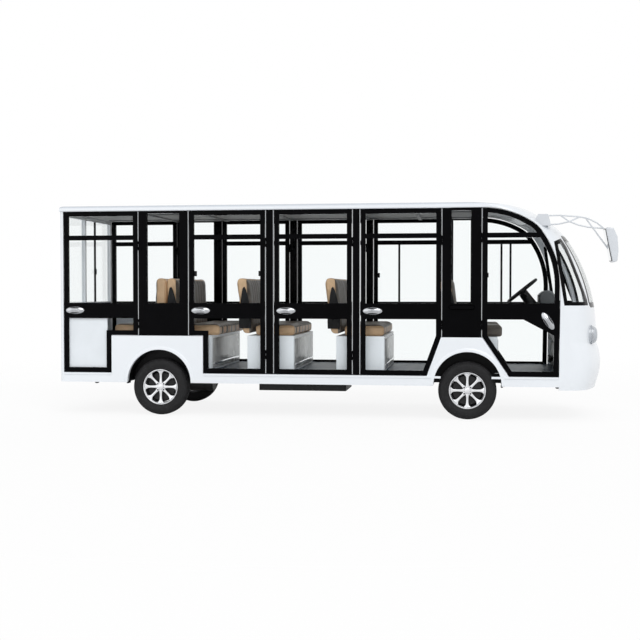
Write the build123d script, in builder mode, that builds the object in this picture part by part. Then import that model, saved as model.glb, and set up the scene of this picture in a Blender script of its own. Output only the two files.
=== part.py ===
import os
from math import atan2, cos, radians, sin, sqrt, tan

from build123d import *

# Electric sightseeing bus, five doors a side and fourteen seats. Millimetres.
# +X is forward, +Y is to the left, +Z is up. The origin is on the ground,
# under the middle of the whole bus with its mirror.

os.makedirs("parts", exist_ok=True)

# Overall sizes
body_width = 1500
nose_station = 5388
mirror_reach = 84
rear_overhang = 1029
wheelbase = 3043
roof_height = 2090

# Heights above the ground
skirt_bottom = 327
door_bottom = 428
floor_top = 450
shoulder_height = 795
belt_bottom = 968
belt_top = 1121
bar_bottom = 1748
bar_top = 1795
door_top = 2033

# Walls, gaps and frames
wall = 40
door_thickness = 34
door_gap = 8
sill_gap = 6
frame_width = 46
glass_thickness = 6
glass_inset = 10
floor_thickness = 30

# Wheels and steering
tyre_diameter = 561
tyre_width = 165
track = 1280
rim_bead_radius = 165
rim_flange_radius = 178
rim_width = 128
arch_radius = 325
arch_rise = 52
kingpin_inset = 44
steering_arm = 108
steering_wheel_diameter = 390

# The bus from its rear end forwards: name, kind, width
rear_margin = 48
bays = [
    ("door_1", "door", 763),
    ("rear_panel", "panel", 514),
    ("door_2", "door", 760),
    ("post_c", "post", 79),
    ("door_3", "door", 760),
    ("post_d", "post", 74),
    ("door_4", "door", 771),
    ("front_panel", "panel", 381),
    ("front_door", "door", 711),
]

overall_length = nose_station + mirror_reach
half_width = body_width / 2
nose_x = nose_station - overall_length / 2
half_length = overall_length / 2
rear_end = -half_length
rear_axle_x = rear_end + rear_overhang
front_axle_x = rear_axle_x + wheelbase
axle_height = tyre_diameter / 2
arch_height = axle_height + arch_rise
wheel_y = track / 2
kingpin_y = wheel_y - kingpin_inset
inner_wall_y = half_width - wall
rear_inner_x = rear_end + rear_margin - door_gap
door_inner_y = half_width - door_thickness

start_x = {}
end_x = {}
station = rear_end + rear_margin
for name, kind, width in bays:
    start_x[name] = station
    end_x[name] = station + width
    station += width + door_gap

# Where the lower edges of the doors step round the wheel arches
rear_step_x = start_x["door_1"] + 486
rear_step_end_x = start_x["door_2"] + 141
front_slant_x = end_x["door_4"] - 135
front_slant_end_x = start_x["front_door"] + 252
step_height = shoulder_height + sill_gap

# The curve of the front door's top, as turning angle and radius of each arc
door_curve = [(32, 851), (22, 350), (36, 900)]
door_front_x = end_x["front_door"]


def save(piece, label):
    piece.label = label
    export_step(piece, f"parts/{label}.step")


def save_pair(right_piece, stem):
    # the left-hand piece is the right-hand one mirrored across the middle
    save(right_piece, f"{stem}_right")
    with BuildPart() as left:
        mirror(right_piece, about=Plane.XZ)
    save(left.part, f"{stem}_left")


def front_door_curve(grow=0):
    # from the rear top corner round to the foot of the front edge
    heading = 0
    point = Vector(start_x["front_door"], door_top + grow)
    for turn, radius in door_curve:
        arc = JernArc(point, (cos(radians(heading)), -sin(radians(heading))), radius + grow, -turn)
        point = arc @ 1
        heading += turn
    Line(point, (door_front_x + grow, door_bottom - grow))


def door_outline(name):
    left, right = start_x[name], end_x[name]
    if name == "door_1":
        Polyline((left, door_bottom), (rear_step_x, door_bottom), (rear_step_x, step_height),
                 (right, step_height), (right, door_top), (left, door_top), close=True)
    elif name == "door_2":
        Polyline((rear_step_end_x, door_bottom), (right, door_bottom), (right, door_top),
                 (left, door_top), (left, step_height), (rear_step_end_x, step_height), close=True)
    elif name == "door_4":
        Polyline((left, door_bottom), (front_slant_x, door_bottom), (right, step_height),
                 (right, door_top), (left, door_top), close=True)
    elif name == "front_door":
        front_door_curve()
        Polyline((door_front_x, door_bottom), (front_slant_end_x, door_bottom),
                 (left, step_height), (left, door_top))
    else:
        Polyline((left, door_bottom), (right, door_bottom), (right, door_top),
                 (left, door_top), close=True)


# Doors: name, hinge edge, hinge heights
handle_height = 1046
hinge_rows = {
    "door_1": ("front", (1690, 914)),
    "door_2": ("front", (1716, 615)),
    "door_3": ("front", (1716, 615)),
    "door_4": ("front", (1725, 914)),
    "front_door": ("rear", (1748, 914)),
}
hinge_radius = 8
hinge_pin_radius = 4
hinge_running_gap = 0.05
hinge_length = 90
hinge_knuckle_gap = 1
hinge_leaf = 4
hinge_leaf_width = 42
hinge_y = half_width + hinge_radius + 2
handle_length = 190
handle_height_size = 75
handle_depth = 22
handle_crown = 0.6
handle_edge = 100
front_handle_tilt = -56
belt_chamfer_length = 280
belt_chamfer_drop = 148


def hinge_x(name):
    edge = hinge_rows[name][0]
    return end_x[name] + door_gap / 2 if edge == "front" else start_x[name] - door_gap / 2


for name in hinge_rows:
    edge, hinge_heights = hinge_rows[name]
    door_side = -1 if edge == "front" else 1
    left, right = start_x[name], end_x[name]
    middle = (left + right) / 2
    span = right - left + 2 * frame_width

    with BuildSketch(Plane.XZ.offset(door_inner_y)) as outline:
        with BuildLine():
            door_outline(name)
        make_face()

    with BuildSketch(Plane.XZ.offset(door_inner_y)) as panes:
        add(outline.sketch)
        offset(amount=-frame_width, kind=Kind.INTERSECTION, mode=Mode.REPLACE)
        with Locations((middle, (belt_bottom + belt_top) / 2)):
            Rectangle(span, belt_top - belt_bottom, mode=Mode.SUBTRACT)
        with Locations((middle, (bar_bottom + bar_top) / 2)):
            Rectangle(span, bar_top - bar_bottom, mode=Mode.SUBTRACT)
        if name == "front_door":
            # the belt panel drops towards the handle
            with BuildLine():
                front = door_front_x
                Polyline((front, belt_bottom), (front - frame_width - belt_chamfer_length, belt_bottom),
                         (front - frame_width, belt_bottom - belt_chamfer_drop),
                         (front, belt_bottom - belt_chamfer_drop), close=True)
            make_face(mode=Mode.SUBTRACT)

    with BuildPart() as frame:
        extrude(outline.sketch, amount=door_thickness)
        extrude(panes.sketch, amount=door_thickness, mode=Mode.SUBTRACT)
        # outside handle, a rounded pod on the belt panel at the free edge
        handle_x = left + handle_edge + 15 if edge == "front" else right - handle_edge
        handle_z = handle_height if edge == "front" else 955
        handle_turn = 0 if edge == "front" else front_handle_tilt
        for depth, share in ((0, 1), (handle_depth, handle_crown)):
            with BuildSketch(Plane.XZ.offset(half_width + depth)):
                with Locations(Location((handle_x, handle_z), handle_turn)):
                    Ellipse(share * handle_length / 2, share * handle_height_size / 2)
        loft()
        # the door's knuckle and leaf at each hinge
        pin_x = hinge_x(name)
        for height in hinge_heights:
            third = hinge_length / 3 - hinge_knuckle_gap
            with Locations((pin_x, -hinge_y, height)):
                Cylinder(hinge_radius, third)
            with Locations((pin_x + door_side * hinge_leaf_width / 2, -half_width - hinge_leaf / 2, height)):
                Box(hinge_leaf_width, hinge_leaf, third)
            with Locations((pin_x, -hinge_y, height)):
                Cylinder(hinge_pin_radius + hinge_running_gap, third, mode=Mode.SUBTRACT)
    save_pair(frame.part, name)

    with BuildPart() as glass:
        extrude(panes.sketch, amount=glass_inset + glass_thickness)
        extrude(panes.sketch, amount=glass_inset, mode=Mode.SUBTRACT)
    save_pair(glass.part, f"{name}_glass")

# Fixed side panels and posts, with the hinges' fixed leaves: name, window from, window to
panel_windows = {"rear_panel": (89, 422), "front_panel": (92, 280)}
panel_window_top = 2010
panel_bottom = shoulder_height
ledge_depth = 24
ledge_height = 48
ledge_length = 250
ledge_top = 1108
with BuildPart() as side_frames:
    for name, kind, width in bays:
        if kind == "door":
            continue
        foot = panel_bottom if kind == "panel" else door_bottom
        with BuildSketch(Plane.XZ.offset(inner_wall_y)):
            with Locations((start_x[name], foot)):
                Rectangle(width, door_top + 2 - foot, align=(Align.MIN, Align.MIN))
            if kind == "panel":
                window_from, window_to = panel_windows[name]
                with Locations((start_x[name] + window_from, belt_top)):
                    Rectangle(window_to - window_from, panel_window_top - belt_top,
                              align=(Align.MIN, Align.MIN), mode=Mode.SUBTRACT)
        extrude(amount=wall)
    # rounded ledge at the foot of the front panel's window
    with BuildSketch(Plane.XZ.offset(half_width)):
        with Locations(((start_x["front_panel"] + end_x["front_panel"]) / 2, ledge_top - ledge_height / 2)):
            RectangleRounded(ledge_length, ledge_height, ledge_height / 2 - 2)
    extrude(amount=ledge_depth, taper=20)
    for name in hinge_rows:
        edge, hinge_heights = hinge_rows[name]
        body_side = 1 if edge == "front" else -1
        pin_x = hinge_x(name)
        for height in hinge_heights:
            with Locations((pin_x, -hinge_y, height)):
                Cylinder(hinge_pin_radius, hinge_length)
            for end in (-1, 1):
                with Locations((pin_x, -hinge_y, height + end * hinge_length / 3)):
                    Cylinder(hinge_radius, hinge_length / 3)
                with Locations((pin_x + body_side * hinge_leaf_width / 2, -half_width - hinge_leaf / 2,
                                height + end * hinge_length / 3)):
                    Box(hinge_leaf_width, hinge_leaf, hinge_length / 3)
    mirror(about=Plane.XZ)
save(side_frames.part, "side_frames")

# White lower sides: skirts with the wheel arches cut out
skirt_top = door_bottom - sill_gap
nose_joint_x = door_front_x + door_gap
arch_lip = 14
arch_lip_depth = 6
with BuildPart() as skirts:
    with BuildSketch(Plane.XZ.offset(inner_wall_y)):
        with BuildLine():
            Polyline((rear_inner_x, skirt_bottom), (nose_joint_x, skirt_bottom), (nose_joint_x, skirt_top),
                     (front_slant_end_x - 3, skirt_top), (start_x["front_door"] - 3, shoulder_height),
                     (end_x["door_4"] + 3, shoulder_height), (front_slant_x + 3, skirt_top),
                     (rear_step_end_x - sill_gap, skirt_top), (rear_step_end_x - sill_gap, shoulder_height),
                     (rear_step_x + sill_gap, shoulder_height), (rear_step_x + sill_gap, skirt_top),
                     (rear_inner_x, skirt_top), close=True)
        make_face()
    extrude(amount=wall)
    for axle_x in (rear_axle_x, front_axle_x):
        with BuildSketch(Plane.XZ.offset(inner_wall_y)):
            with Locations((axle_x, arch_height)):
                Circle(arch_radius + arch_lip)
            with Locations((axle_x, skirt_bottom)):
                Rectangle(3 * arch_radius, 3 * arch_radius,
                          align=(Align.CENTER, Align.MAX), mode=Mode.SUBTRACT)
        extrude(amount=wall + arch_lip_depth)
    for axle_x in (rear_axle_x, front_axle_x):
        with Locations((axle_x, -half_width, arch_height)):
            Cylinder(arch_radius, 3 * wall, rotation=(90, 0, 0), mode=Mode.SUBTRACT)
    mirror(about=Plane.XZ)
save(skirts.part, "side_skirts")

# Rear end: corner posts, tailgate panel and window surround in one moulding
rear_window_low = belt_top
rear_window_high = 1990
rear_post_width = 36
rear_side_margin = 52
rear_corner_radius = 40
rear_post_y = (-100,)
tail_light_y = 655
tail_light_height = 940
tail_light_size = (22, 80, 230)
with BuildPart() as rear_body:
    with BuildSketch(Plane.XY.offset(skirt_bottom)):
        with Locations((rear_end, 0)):
            Rectangle(rear_margin - door_gap, body_width, align=(Align.MIN, Align.CENTER))
        fillet(vertices().group_by(Axis.X)[0], rear_corner_radius - 2)
    extrude(amount=door_top + 2 - skirt_bottom)
    with BuildSketch(Plane.YZ.offset(rear_end)):
        with Locations((0, (rear_window_low + rear_window_high) / 2)):
            Rectangle(body_width - 2 * rear_side_margin, rear_window_high - rear_window_low)
        for y in rear_post_y:
            with Locations((y, (rear_window_low + rear_window_high) / 2)):
                Rectangle(rear_post_width, rear_window_high - rear_window_low, mode=Mode.SUBTRACT)
    extrude(amount=rear_margin, mode=Mode.SUBTRACT)
    for side in (-1, 1):
        with Locations((rear_end, side * tail_light_y, tail_light_height)):
            Box(*tail_light_size, align=(Align.MIN, Align.CENTER, Align.CENTER), mode=Mode.SUBTRACT)
save(rear_body.part, "rear_body")

with BuildPart() as tail_lights:
    for side in (-1, 1):
        with Locations((rear_end, side * tail_light_y, tail_light_height)):
            Box(*tail_light_size, align=(Align.MIN, Align.CENTER, Align.CENTER))
save(tail_lights.part, "tail_lights")

# Front end: plan sections one above another, each the same outline set back by its own amount
# columns: height, setback from the front of the nose, half width
roof_foot = 1942
crease_height = 745
nose_radius = 1500
corner_radius = 210
nose_wall = 40
lower_nose_sections = [
    (skirt_bottom - 30, -50, half_width - 6),
    (400, -20, half_width),
    (500, 0, half_width),
    (620, -4, half_width),
    (crease_height, -42, half_width),
]
upper_nose_sections = [
    (crease_height, -42, half_width),
    (1000, -50, half_width),
    (1274, -102, half_width),
    (1589, -228, half_width),
    (1764, -338, half_width),
    (roof_foot, -558, half_width),
]


def plan_outline(front, back, side):
    # a long front arc, two corner arcs, straight sides and a straight back
    centre_x = front - nose_radius
    corner_y = side - corner_radius
    corner_x = centre_x + sqrt((nose_radius - corner_radius) ** 2 - corner_y ** 2)
    share = nose_radius / (nose_radius - corner_radius)
    join_x = centre_x + (corner_x - centre_x) * share
    join_y = corner_y * share
    halfway = (radians(90) - atan2(corner_y, corner_x - centre_x)) / 2
    mid_x = corner_x + corner_radius * sin(halfway)
    mid_y = corner_y + corner_radius * cos(halfway)
    Line((back, -side), (corner_x, -side))
    ThreePointArc((corner_x, -side), (mid_x, -mid_y), (join_x, -join_y))
    ThreePointArc((join_x, -join_y), (front, 0), (join_x, join_y))
    ThreePointArc((join_x, join_y), (mid_x, mid_y), (corner_x, side))
    Line((corner_x, side), (back, side))
    Line((back, side), (back, -side))


def plan_loft(rows, back, inset, drop=0):
    # the form through the sections, drawn in by an inset for its inside face
    with BuildPart() as form:
        for height, setback, half in rows:
            with BuildSketch(Plane.XY.offset(height - drop)):
                with BuildLine():
                    plan_outline(nose_x + setback - inset, back, half - inset)
                make_face()
        loft()
    return form.part


def nose_form(inset):
    with BuildPart() as form:
        add(plan_loft(lower_nose_sections, start_x["front_door"], inset))
        add(plan_loft(upper_nose_sections, start_x["front_door"], inset))
    return form.part


quarter_window = [(4880, 1709), (4976, 1755), (5227, 1102), (4977, 1102)]
quarter_inner_y = 562
windscreen_low = 1080
windscreen_high = 1775
windscreen_corner = 70
windscreen_low_half = 536
windscreen_high_half = 530

nose_outside = nose_form(0)
nose_inside = nose_form(nose_wall)
nose_behind_glass = nose_form(glass_thickness)

with BuildPart() as door_clearance:
    with BuildSketch(Plane.XZ):
        with BuildLine():
            front_door_curve(door_gap)
            Polyline((door_front_x + door_gap, door_bottom - door_gap),
                     (start_x["front_door"] - 300, door_bottom - door_gap),
                     (start_x["front_door"] - 300, door_top + door_gap),
                     (start_x["front_door"], door_top + door_gap))
        make_face()
    extrude(amount=body_width, both=True)

with BuildPart() as windscreen_cut:
    with BuildSketch(Plane.YZ.offset(door_front_x - 400)):
        with BuildLine():
            Polyline((-windscreen_low_half, windscreen_low), (windscreen_low_half, windscreen_low),
                     (windscreen_high_half, windscreen_high), (-windscreen_high_half, windscreen_high),
                     close=True)
        make_face()
        fillet(vertices(), windscreen_corner)
    extrude(amount=1200)

with BuildPart() as quarter_cut:
    with BuildSketch(Plane.XZ.offset(quarter_inner_y)):
        with BuildLine():
            Polyline(*[(rear_end + x, z) for x, z in quarter_window], close=True)
        make_face()
    extrude(amount=body_width)
    mirror(about=Plane.XZ)

# Headlamps: round lenses let into the front corners
lamp_radius = 85
lamp_y = 520
lamp_height = 820
lamp_back = 5100
lamp_front = 5306
lamp_round = 48
with BuildPart() as headlights:
    with BuildSketch(Plane.YZ.offset(rear_end + lamp_back)):
        with Locations((-lamp_y, lamp_height), (lamp_y, lamp_height)):
            Circle(lamp_radius)
    extrude(amount=lamp_front - lamp_back)
    fillet(edges().group_by(Axis.X)[-1], lamp_round)
    add(nose_inside, mode=Mode.SUBTRACT)
save(headlights.part, "headlights")

with BuildPart() as nose_body:
    add(nose_outside)
    add(nose_inside, mode=Mode.SUBTRACT)
    add(door_clearance.part, mode=Mode.SUBTRACT)
    with Locations((start_x["front_door"] - 500, 0, 0)):
        Box(door_front_x + door_gap - start_x["front_door"] + 500, 2 * body_width, 2 * skirt_top,
            align=(Align.MIN, Align.CENTER, Align.CENTER), mode=Mode.SUBTRACT)
    add(windscreen_cut.part, mode=Mode.SUBTRACT)
    add(quarter_cut.part, mode=Mode.SUBTRACT)
    add(headlights.part, mode=Mode.SUBTRACT)
save(nose_body.part, "nose_body")

with BuildPart() as windscreen:
    add(nose_outside)
    add(nose_behind_glass, mode=Mode.SUBTRACT)
    add(windscreen_cut.part, mode=Mode.INTERSECT)
save(windscreen.part, "windscreen")

# Roof: a moulded cap with rounded edges that curves down to the windscreen
# columns: height, setback from the front of the nose, half width, rear inset
roof_shell = 42
roof_overhang = 5
roof_sections = [
    (roof_foot, -558, half_width + roof_overhang, 0),
    (2000, -632, half_width + roof_overhang, 0),
    (2045, -722, half_width + roof_overhang, 0),
    (roof_height - 14, -850, half_width - 1, 5),
    (roof_height, -1010, half_width - 28, 30),
]


def roof_form(inset):
    with BuildPart() as form:
        for height, setback, half, rear_inset in roof_sections:
            with BuildSketch(Plane.XY.offset(height - inset)):
                with BuildLine():
                    plan_outline(nose_x + setback - inset, rear_end + rear_inset + inset, half - inset)
                make_face()
        loft()
    return form.part


with BuildPart() as roof:
    add(roof_form(0))
    add(roof_form(roof_shell), mode=Mode.SUBTRACT)
    add(door_clearance.part, mode=Mode.SUBTRACT)
    with Locations((rear_end - 100, 0, door_top + 2)):
        Box(start_x["front_door"] - rear_end + 100, 2 * body_width, body_width,
            align=(Align.MIN, Align.CENTER, Align.MAX), mode=Mode.SUBTRACT)
save(roof.part, "roof")

# Lining under the roof
headliner_thickness = 12
with BuildPart() as headliner:
    with Locations(((rear_end + rear_margin + start_x["front_door"]) / 2, 0, door_top + 2)):
        Box(start_x["front_door"] - rear_end - rear_margin, 2 * (inner_wall_y - 3), headliner_thickness,
            align=(Align.CENTER, Align.CENTER, Align.MAX))
save(headliner.part, "headliner")

# Floor and wheel houses
wheel_house_wall = 4
rear_house_inner_y = 520
front_house_inner_y = 408
with BuildPart() as floor:
    with Locations(((rear_inner_x + door_front_x + 180) / 2, 0, floor_top - floor_thickness / 2)):
        Box(door_front_x + 180 - rear_inner_x, 2 * inner_wall_y, floor_thickness)
    for axle_x, house_y in ((rear_axle_x, rear_house_inner_y), (front_axle_x, front_house_inner_y)):
        for side in (-1, 1):
            with Locations((axle_x, side * (half_width + house_y) / 2, arch_height)):
                Cylinder(arch_radius + wheel_house_wall, half_width - house_y + 2 * wheel_house_wall,
                         rotation=(90, 0, 0), mode=Mode.SUBTRACT)
    add(nose_body.part, mode=Mode.SUBTRACT)
save(floor.part, "floor")

with BuildPart() as wheel_houses:
    for axle_x, house_y in ((rear_axle_x, rear_house_inner_y), (front_axle_x, front_house_inner_y)):
        with Locations((axle_x, -(inner_wall_y + house_y) / 2, arch_height)):
            Cylinder(arch_radius + wheel_house_wall, inner_wall_y - house_y, rotation=(90, 0, 0))
    for axle_x, house_y in ((rear_axle_x, rear_house_inner_y), (front_axle_x, front_house_inner_y)):
        with Locations((axle_x, -(inner_wall_y + house_y) / 2 - wheel_house_wall, arch_height)):
            Cylinder(arch_radius, inner_wall_y - house_y, rotation=(90, 0, 0), mode=Mode.SUBTRACT)
        with Locations((axle_x, -(inner_wall_y + house_y) / 2, arch_height)):
            Box(3 * arch_radius, 2 * inner_wall_y, 2 * arch_radius,
                align=(Align.CENTER, Align.CENTER, Align.MAX),
                mode=Mode.SUBTRACT)
    mirror(about=Plane.XZ)
save(wheel_houses.part, "wheel_houses")

# Chassis: two rails with cross members and outriggers under the floor
rail_y = 330
rail_width = 50
rail_height = 90
rail_top = floor_top - floor_thickness
rail_from = rear_end + 60
rail_to = door_front_x + 150
outrigger_height = 50
outrigger_width = 40
tow_eye_height = 274
tow_eye_radius = 14
tow_eye_outer_radius = 28
tow_eye_thickness = 16
cross_stations = [120, 640, 1500, 2100, 2700, 3300, 3640, 4520, 4980]
outrigger_stations = [120, 1500, 2100, 2700, 3300, 4520, 4900]
with BuildPart() as rails:
    for side in (-1, 1):
        with Locations(((rail_from + rail_to) / 2, side * rail_y, rail_top - rail_height / 2)):
            Box(rail_to - rail_from, rail_width, rail_height)
save(rails.part, "chassis_rails")

# cross members between the rails, outriggers from the rails to the skirts
outrigger_inner_y = rail_y + rail_width / 2
with BuildPart() as cross_members:
    for cross in cross_stations:
        with Locations((rear_end + cross, 0, rail_top - outrigger_height / 2)):
            Box(outrigger_width, 2 * rail_y - rail_width, outrigger_height)
    for outrigger in outrigger_stations:
        for side in (-1, 1):
            with Locations((rear_end + outrigger, side * (outrigger_inner_y + inner_wall_y) / 2,
                            rail_top - outrigger_height / 2)):
                Box(outrigger_width, inner_wall_y - outrigger_inner_y, outrigger_height)
save(cross_members.part, "cross_members")

# Tow eyes under the first and the last cross member
with BuildPart() as tow_eyes:
    for cross in (cross_stations[0], cross_stations[-1]):
        with BuildSketch(Plane.XZ.offset(-tow_eye_thickness / 2)):
            with Locations((rear_end + cross, tow_eye_height)):
                Circle(tow_eye_outer_radius)
            with Locations((rear_end + cross, (tow_eye_height + rail_top - outrigger_height) / 2)):
                Rectangle(2 * tow_eye_outer_radius, rail_top - outrigger_height - tow_eye_height)
            with Locations((rear_end + cross, tow_eye_height)):
                Circle(tow_eye_radius, mode=Mode.SUBTRACT)
        extrude(amount=tow_eye_thickness)
save(tow_eyes.part, "tow_eyes")

# Battery box slung between the rails
battery_station = 2400
battery_size = (900, 560, 150)
with BuildPart() as battery:
    with Locations((rear_end + battery_station, 0, rail_top - outrigger_height)):
        Box(*battery_size, align=(Align.CENTER, Align.CENTER, Align.MAX))
    fillet(battery.edges().filter_by(Axis.Z), 20)
save(battery.part, "battery_box")

# Axles, springs and the motor on the rear axle
axle_tube_radius = 32
differential_radius = 105
motor_radius = 95
motor_length = 300
spring_y = 383
spring_width = 44
spring_leaf = 8
spring_leaves = 4
spring_span = 820
spring_camber = 60
drum_radius = 120
drum_depth = 50
spindle_radius = 20
spindle_end_y = wheel_y + 48
drum_y = wheel_y + 13.7
with BuildPart() as rear_axle:
    with Locations((rear_axle_x, 0, axle_height)):
        Cylinder(axle_tube_radius, 2 * (drum_y - drum_depth), rotation=(90, 0, 0))
        Cylinder(spindle_radius, 2 * spindle_end_y, rotation=(90, 0, 0))
        Sphere(differential_radius)
    with Locations((rear_axle_x + differential_radius - 20 + motor_length / 2, 0, axle_height)):
        Cylinder(motor_radius, motor_length, rotation=(0, 90, 0))
    for side in (-1, 1):
        with Locations((rear_axle_x, side * (drum_y - drum_depth / 2), axle_height)):
            Cylinder(drum_radius, drum_depth, rotation=(90, 0, 0))
save(rear_axle.part, "rear_axle")

beam_depth = 50
beam_height = 44
yoke_gap = 1
with BuildPart() as front_axle:
    with Locations((front_axle_x, 0, axle_height)):
        Box(beam_depth, 2 * kingpin_y - 60, beam_height)
    for side in (-1, 1):
        with Locations((front_axle_x, side * kingpin_y, axle_height)):
            Cylinder(26, beam_height)
        with Locations((front_axle_x, side * (kingpin_y - 30), axle_height)):
            Box(40, 40, beam_height)
        with Locations((front_axle_x, side * kingpin_y, axle_height)):
            Cylinder(12 + hinge_running_gap, beam_height, mode=Mode.SUBTRACT)
save(front_axle.part, "front_axle")

spring_base = axle_height + 46
shackle_width = spring_y + spring_width / 2 - rail_y - rail_width / 2
shackle_y = rail_y + rail_width / 2 + shackle_width / 2
spring_sag = spring_camber
spring_radius = (spring_span ** 2 / 4 + spring_sag ** 2) / (2 * spring_sag)
with BuildPart() as springs:
    for axle_x in (rear_axle_x, front_axle_x):
        for leaf in range(spring_leaves):
            span = spring_span * (1 - 0.2 * (spring_leaves - 1 - leaf))
            sag = spring_radius - sqrt(spring_radius ** 2 - span ** 2 / 4)
            low = spring_base + leaf * spring_leaf
            with BuildSketch(Plane.XZ.offset(spring_y - spring_width / 2)):
                with BuildLine():
                    under = ThreePointArc((axle_x - span / 2, low + sag), (axle_x, low),
                                          (axle_x + span / 2, low + sag))
                    top = low + spring_leaf
                    over = ThreePointArc((axle_x - span / 2, top + sag), (axle_x, top),
                                         (axle_x + span / 2, low + sag + spring_leaf))
                    Line(under @ 0, over @ 0)
                    Line(under @ 1, over @ 1)
                make_face()
            extrude(amount=spring_width)
        # saddle on the axle
        with Locations((axle_x, -spring_y, spring_base + 4)):
            Box(90, spring_width, spring_base + 4 - axle_height,
                align=(Align.CENTER, Align.CENTER, Align.MAX))
        # shackle posts up to the chassis outriggers' level
        for end in (-1, 1):
            shackle_x = axle_x + end * (spring_span / 2 - 12)
            with Locations((shackle_x, -shackle_y, spring_base + spring_sag - 10)):
                Box(36, shackle_width, rail_top - spring_base - spring_sag + 10,
                    align=(Align.CENTER, Align.CENTER, Align.MIN))
    add(rear_axle.part, mode=Mode.SUBTRACT)
    add(front_axle.part, mode=Mode.SUBTRACT)
    mirror(about=Plane.XZ)
save(springs.part, "leaf_springs")

# Knuckles on their kingpins, with steering arms
arm_width = 30
arm_z = axle_height - beam_height / 2 - yoke_gap - 8
arm_end_x = front_axle_x - steering_arm
for side, stem in ((-1, "right"), (1, "left")):
    with BuildPart() as knuckle:
        for end in (-1, 1):
            cheek_z = axle_height + end * (beam_height / 2 + yoke_gap + 8)
            with Locations((front_axle_x, side * kingpin_y, cheek_z)):
                Cylinder(24, 16)
            with Locations((front_axle_x, side * (kingpin_y + 18), cheek_z)):
                Box(48, 36, 16)
        with Locations((front_axle_x, side * kingpin_y, axle_height)):
            Cylinder(12, beam_height + 34)
        with Locations((front_axle_x, side * (kingpin_y + 34), axle_height)):
            Box(60, 10, beam_height + 34)
        with Locations((front_axle_x, side * (drum_y - 8), axle_height)):
            Cylinder(drum_radius, 16, rotation=(90, 0, 0))
        with Locations((front_axle_x, side * (kingpin_y + 34 + spindle_end_y) / 2, axle_height)):
            Cylinder(spindle_radius, spindle_end_y - kingpin_y - 34, rotation=(90, 0, 0))
        with Locations((front_axle_x - steering_arm / 2, side * kingpin_y, arm_z)):
            Box(steering_arm, arm_width, 16)
        with Locations((arm_end_x, side * kingpin_y, arm_z)):
            Cylinder(arm_width / 2, 16)
        with Locations((arm_end_x, side * kingpin_y, axle_height - beam_height / 2 - 32)):
            Cylinder(6, 40)
    save(knuckle.part, f"knuckle_{stem}")

tie_rod_radius = 9
with BuildPart() as tie_rod:
    rod_z = axle_height - beam_height / 2 - yoke_gap - 32
    with Locations((arm_end_x, 0, rod_z)):
        Cylinder(tie_rod_radius, 2 * kingpin_y, rotation=(90, 0, 0))
    for side in (-1, 1):
        with Locations((arm_end_x, side * kingpin_y, rod_z)):
            Cylinder(15, 24)
            Cylinder(6.5, 24, mode=Mode.SUBTRACT)
save(tie_rod.part, "tie_rod")

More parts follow.
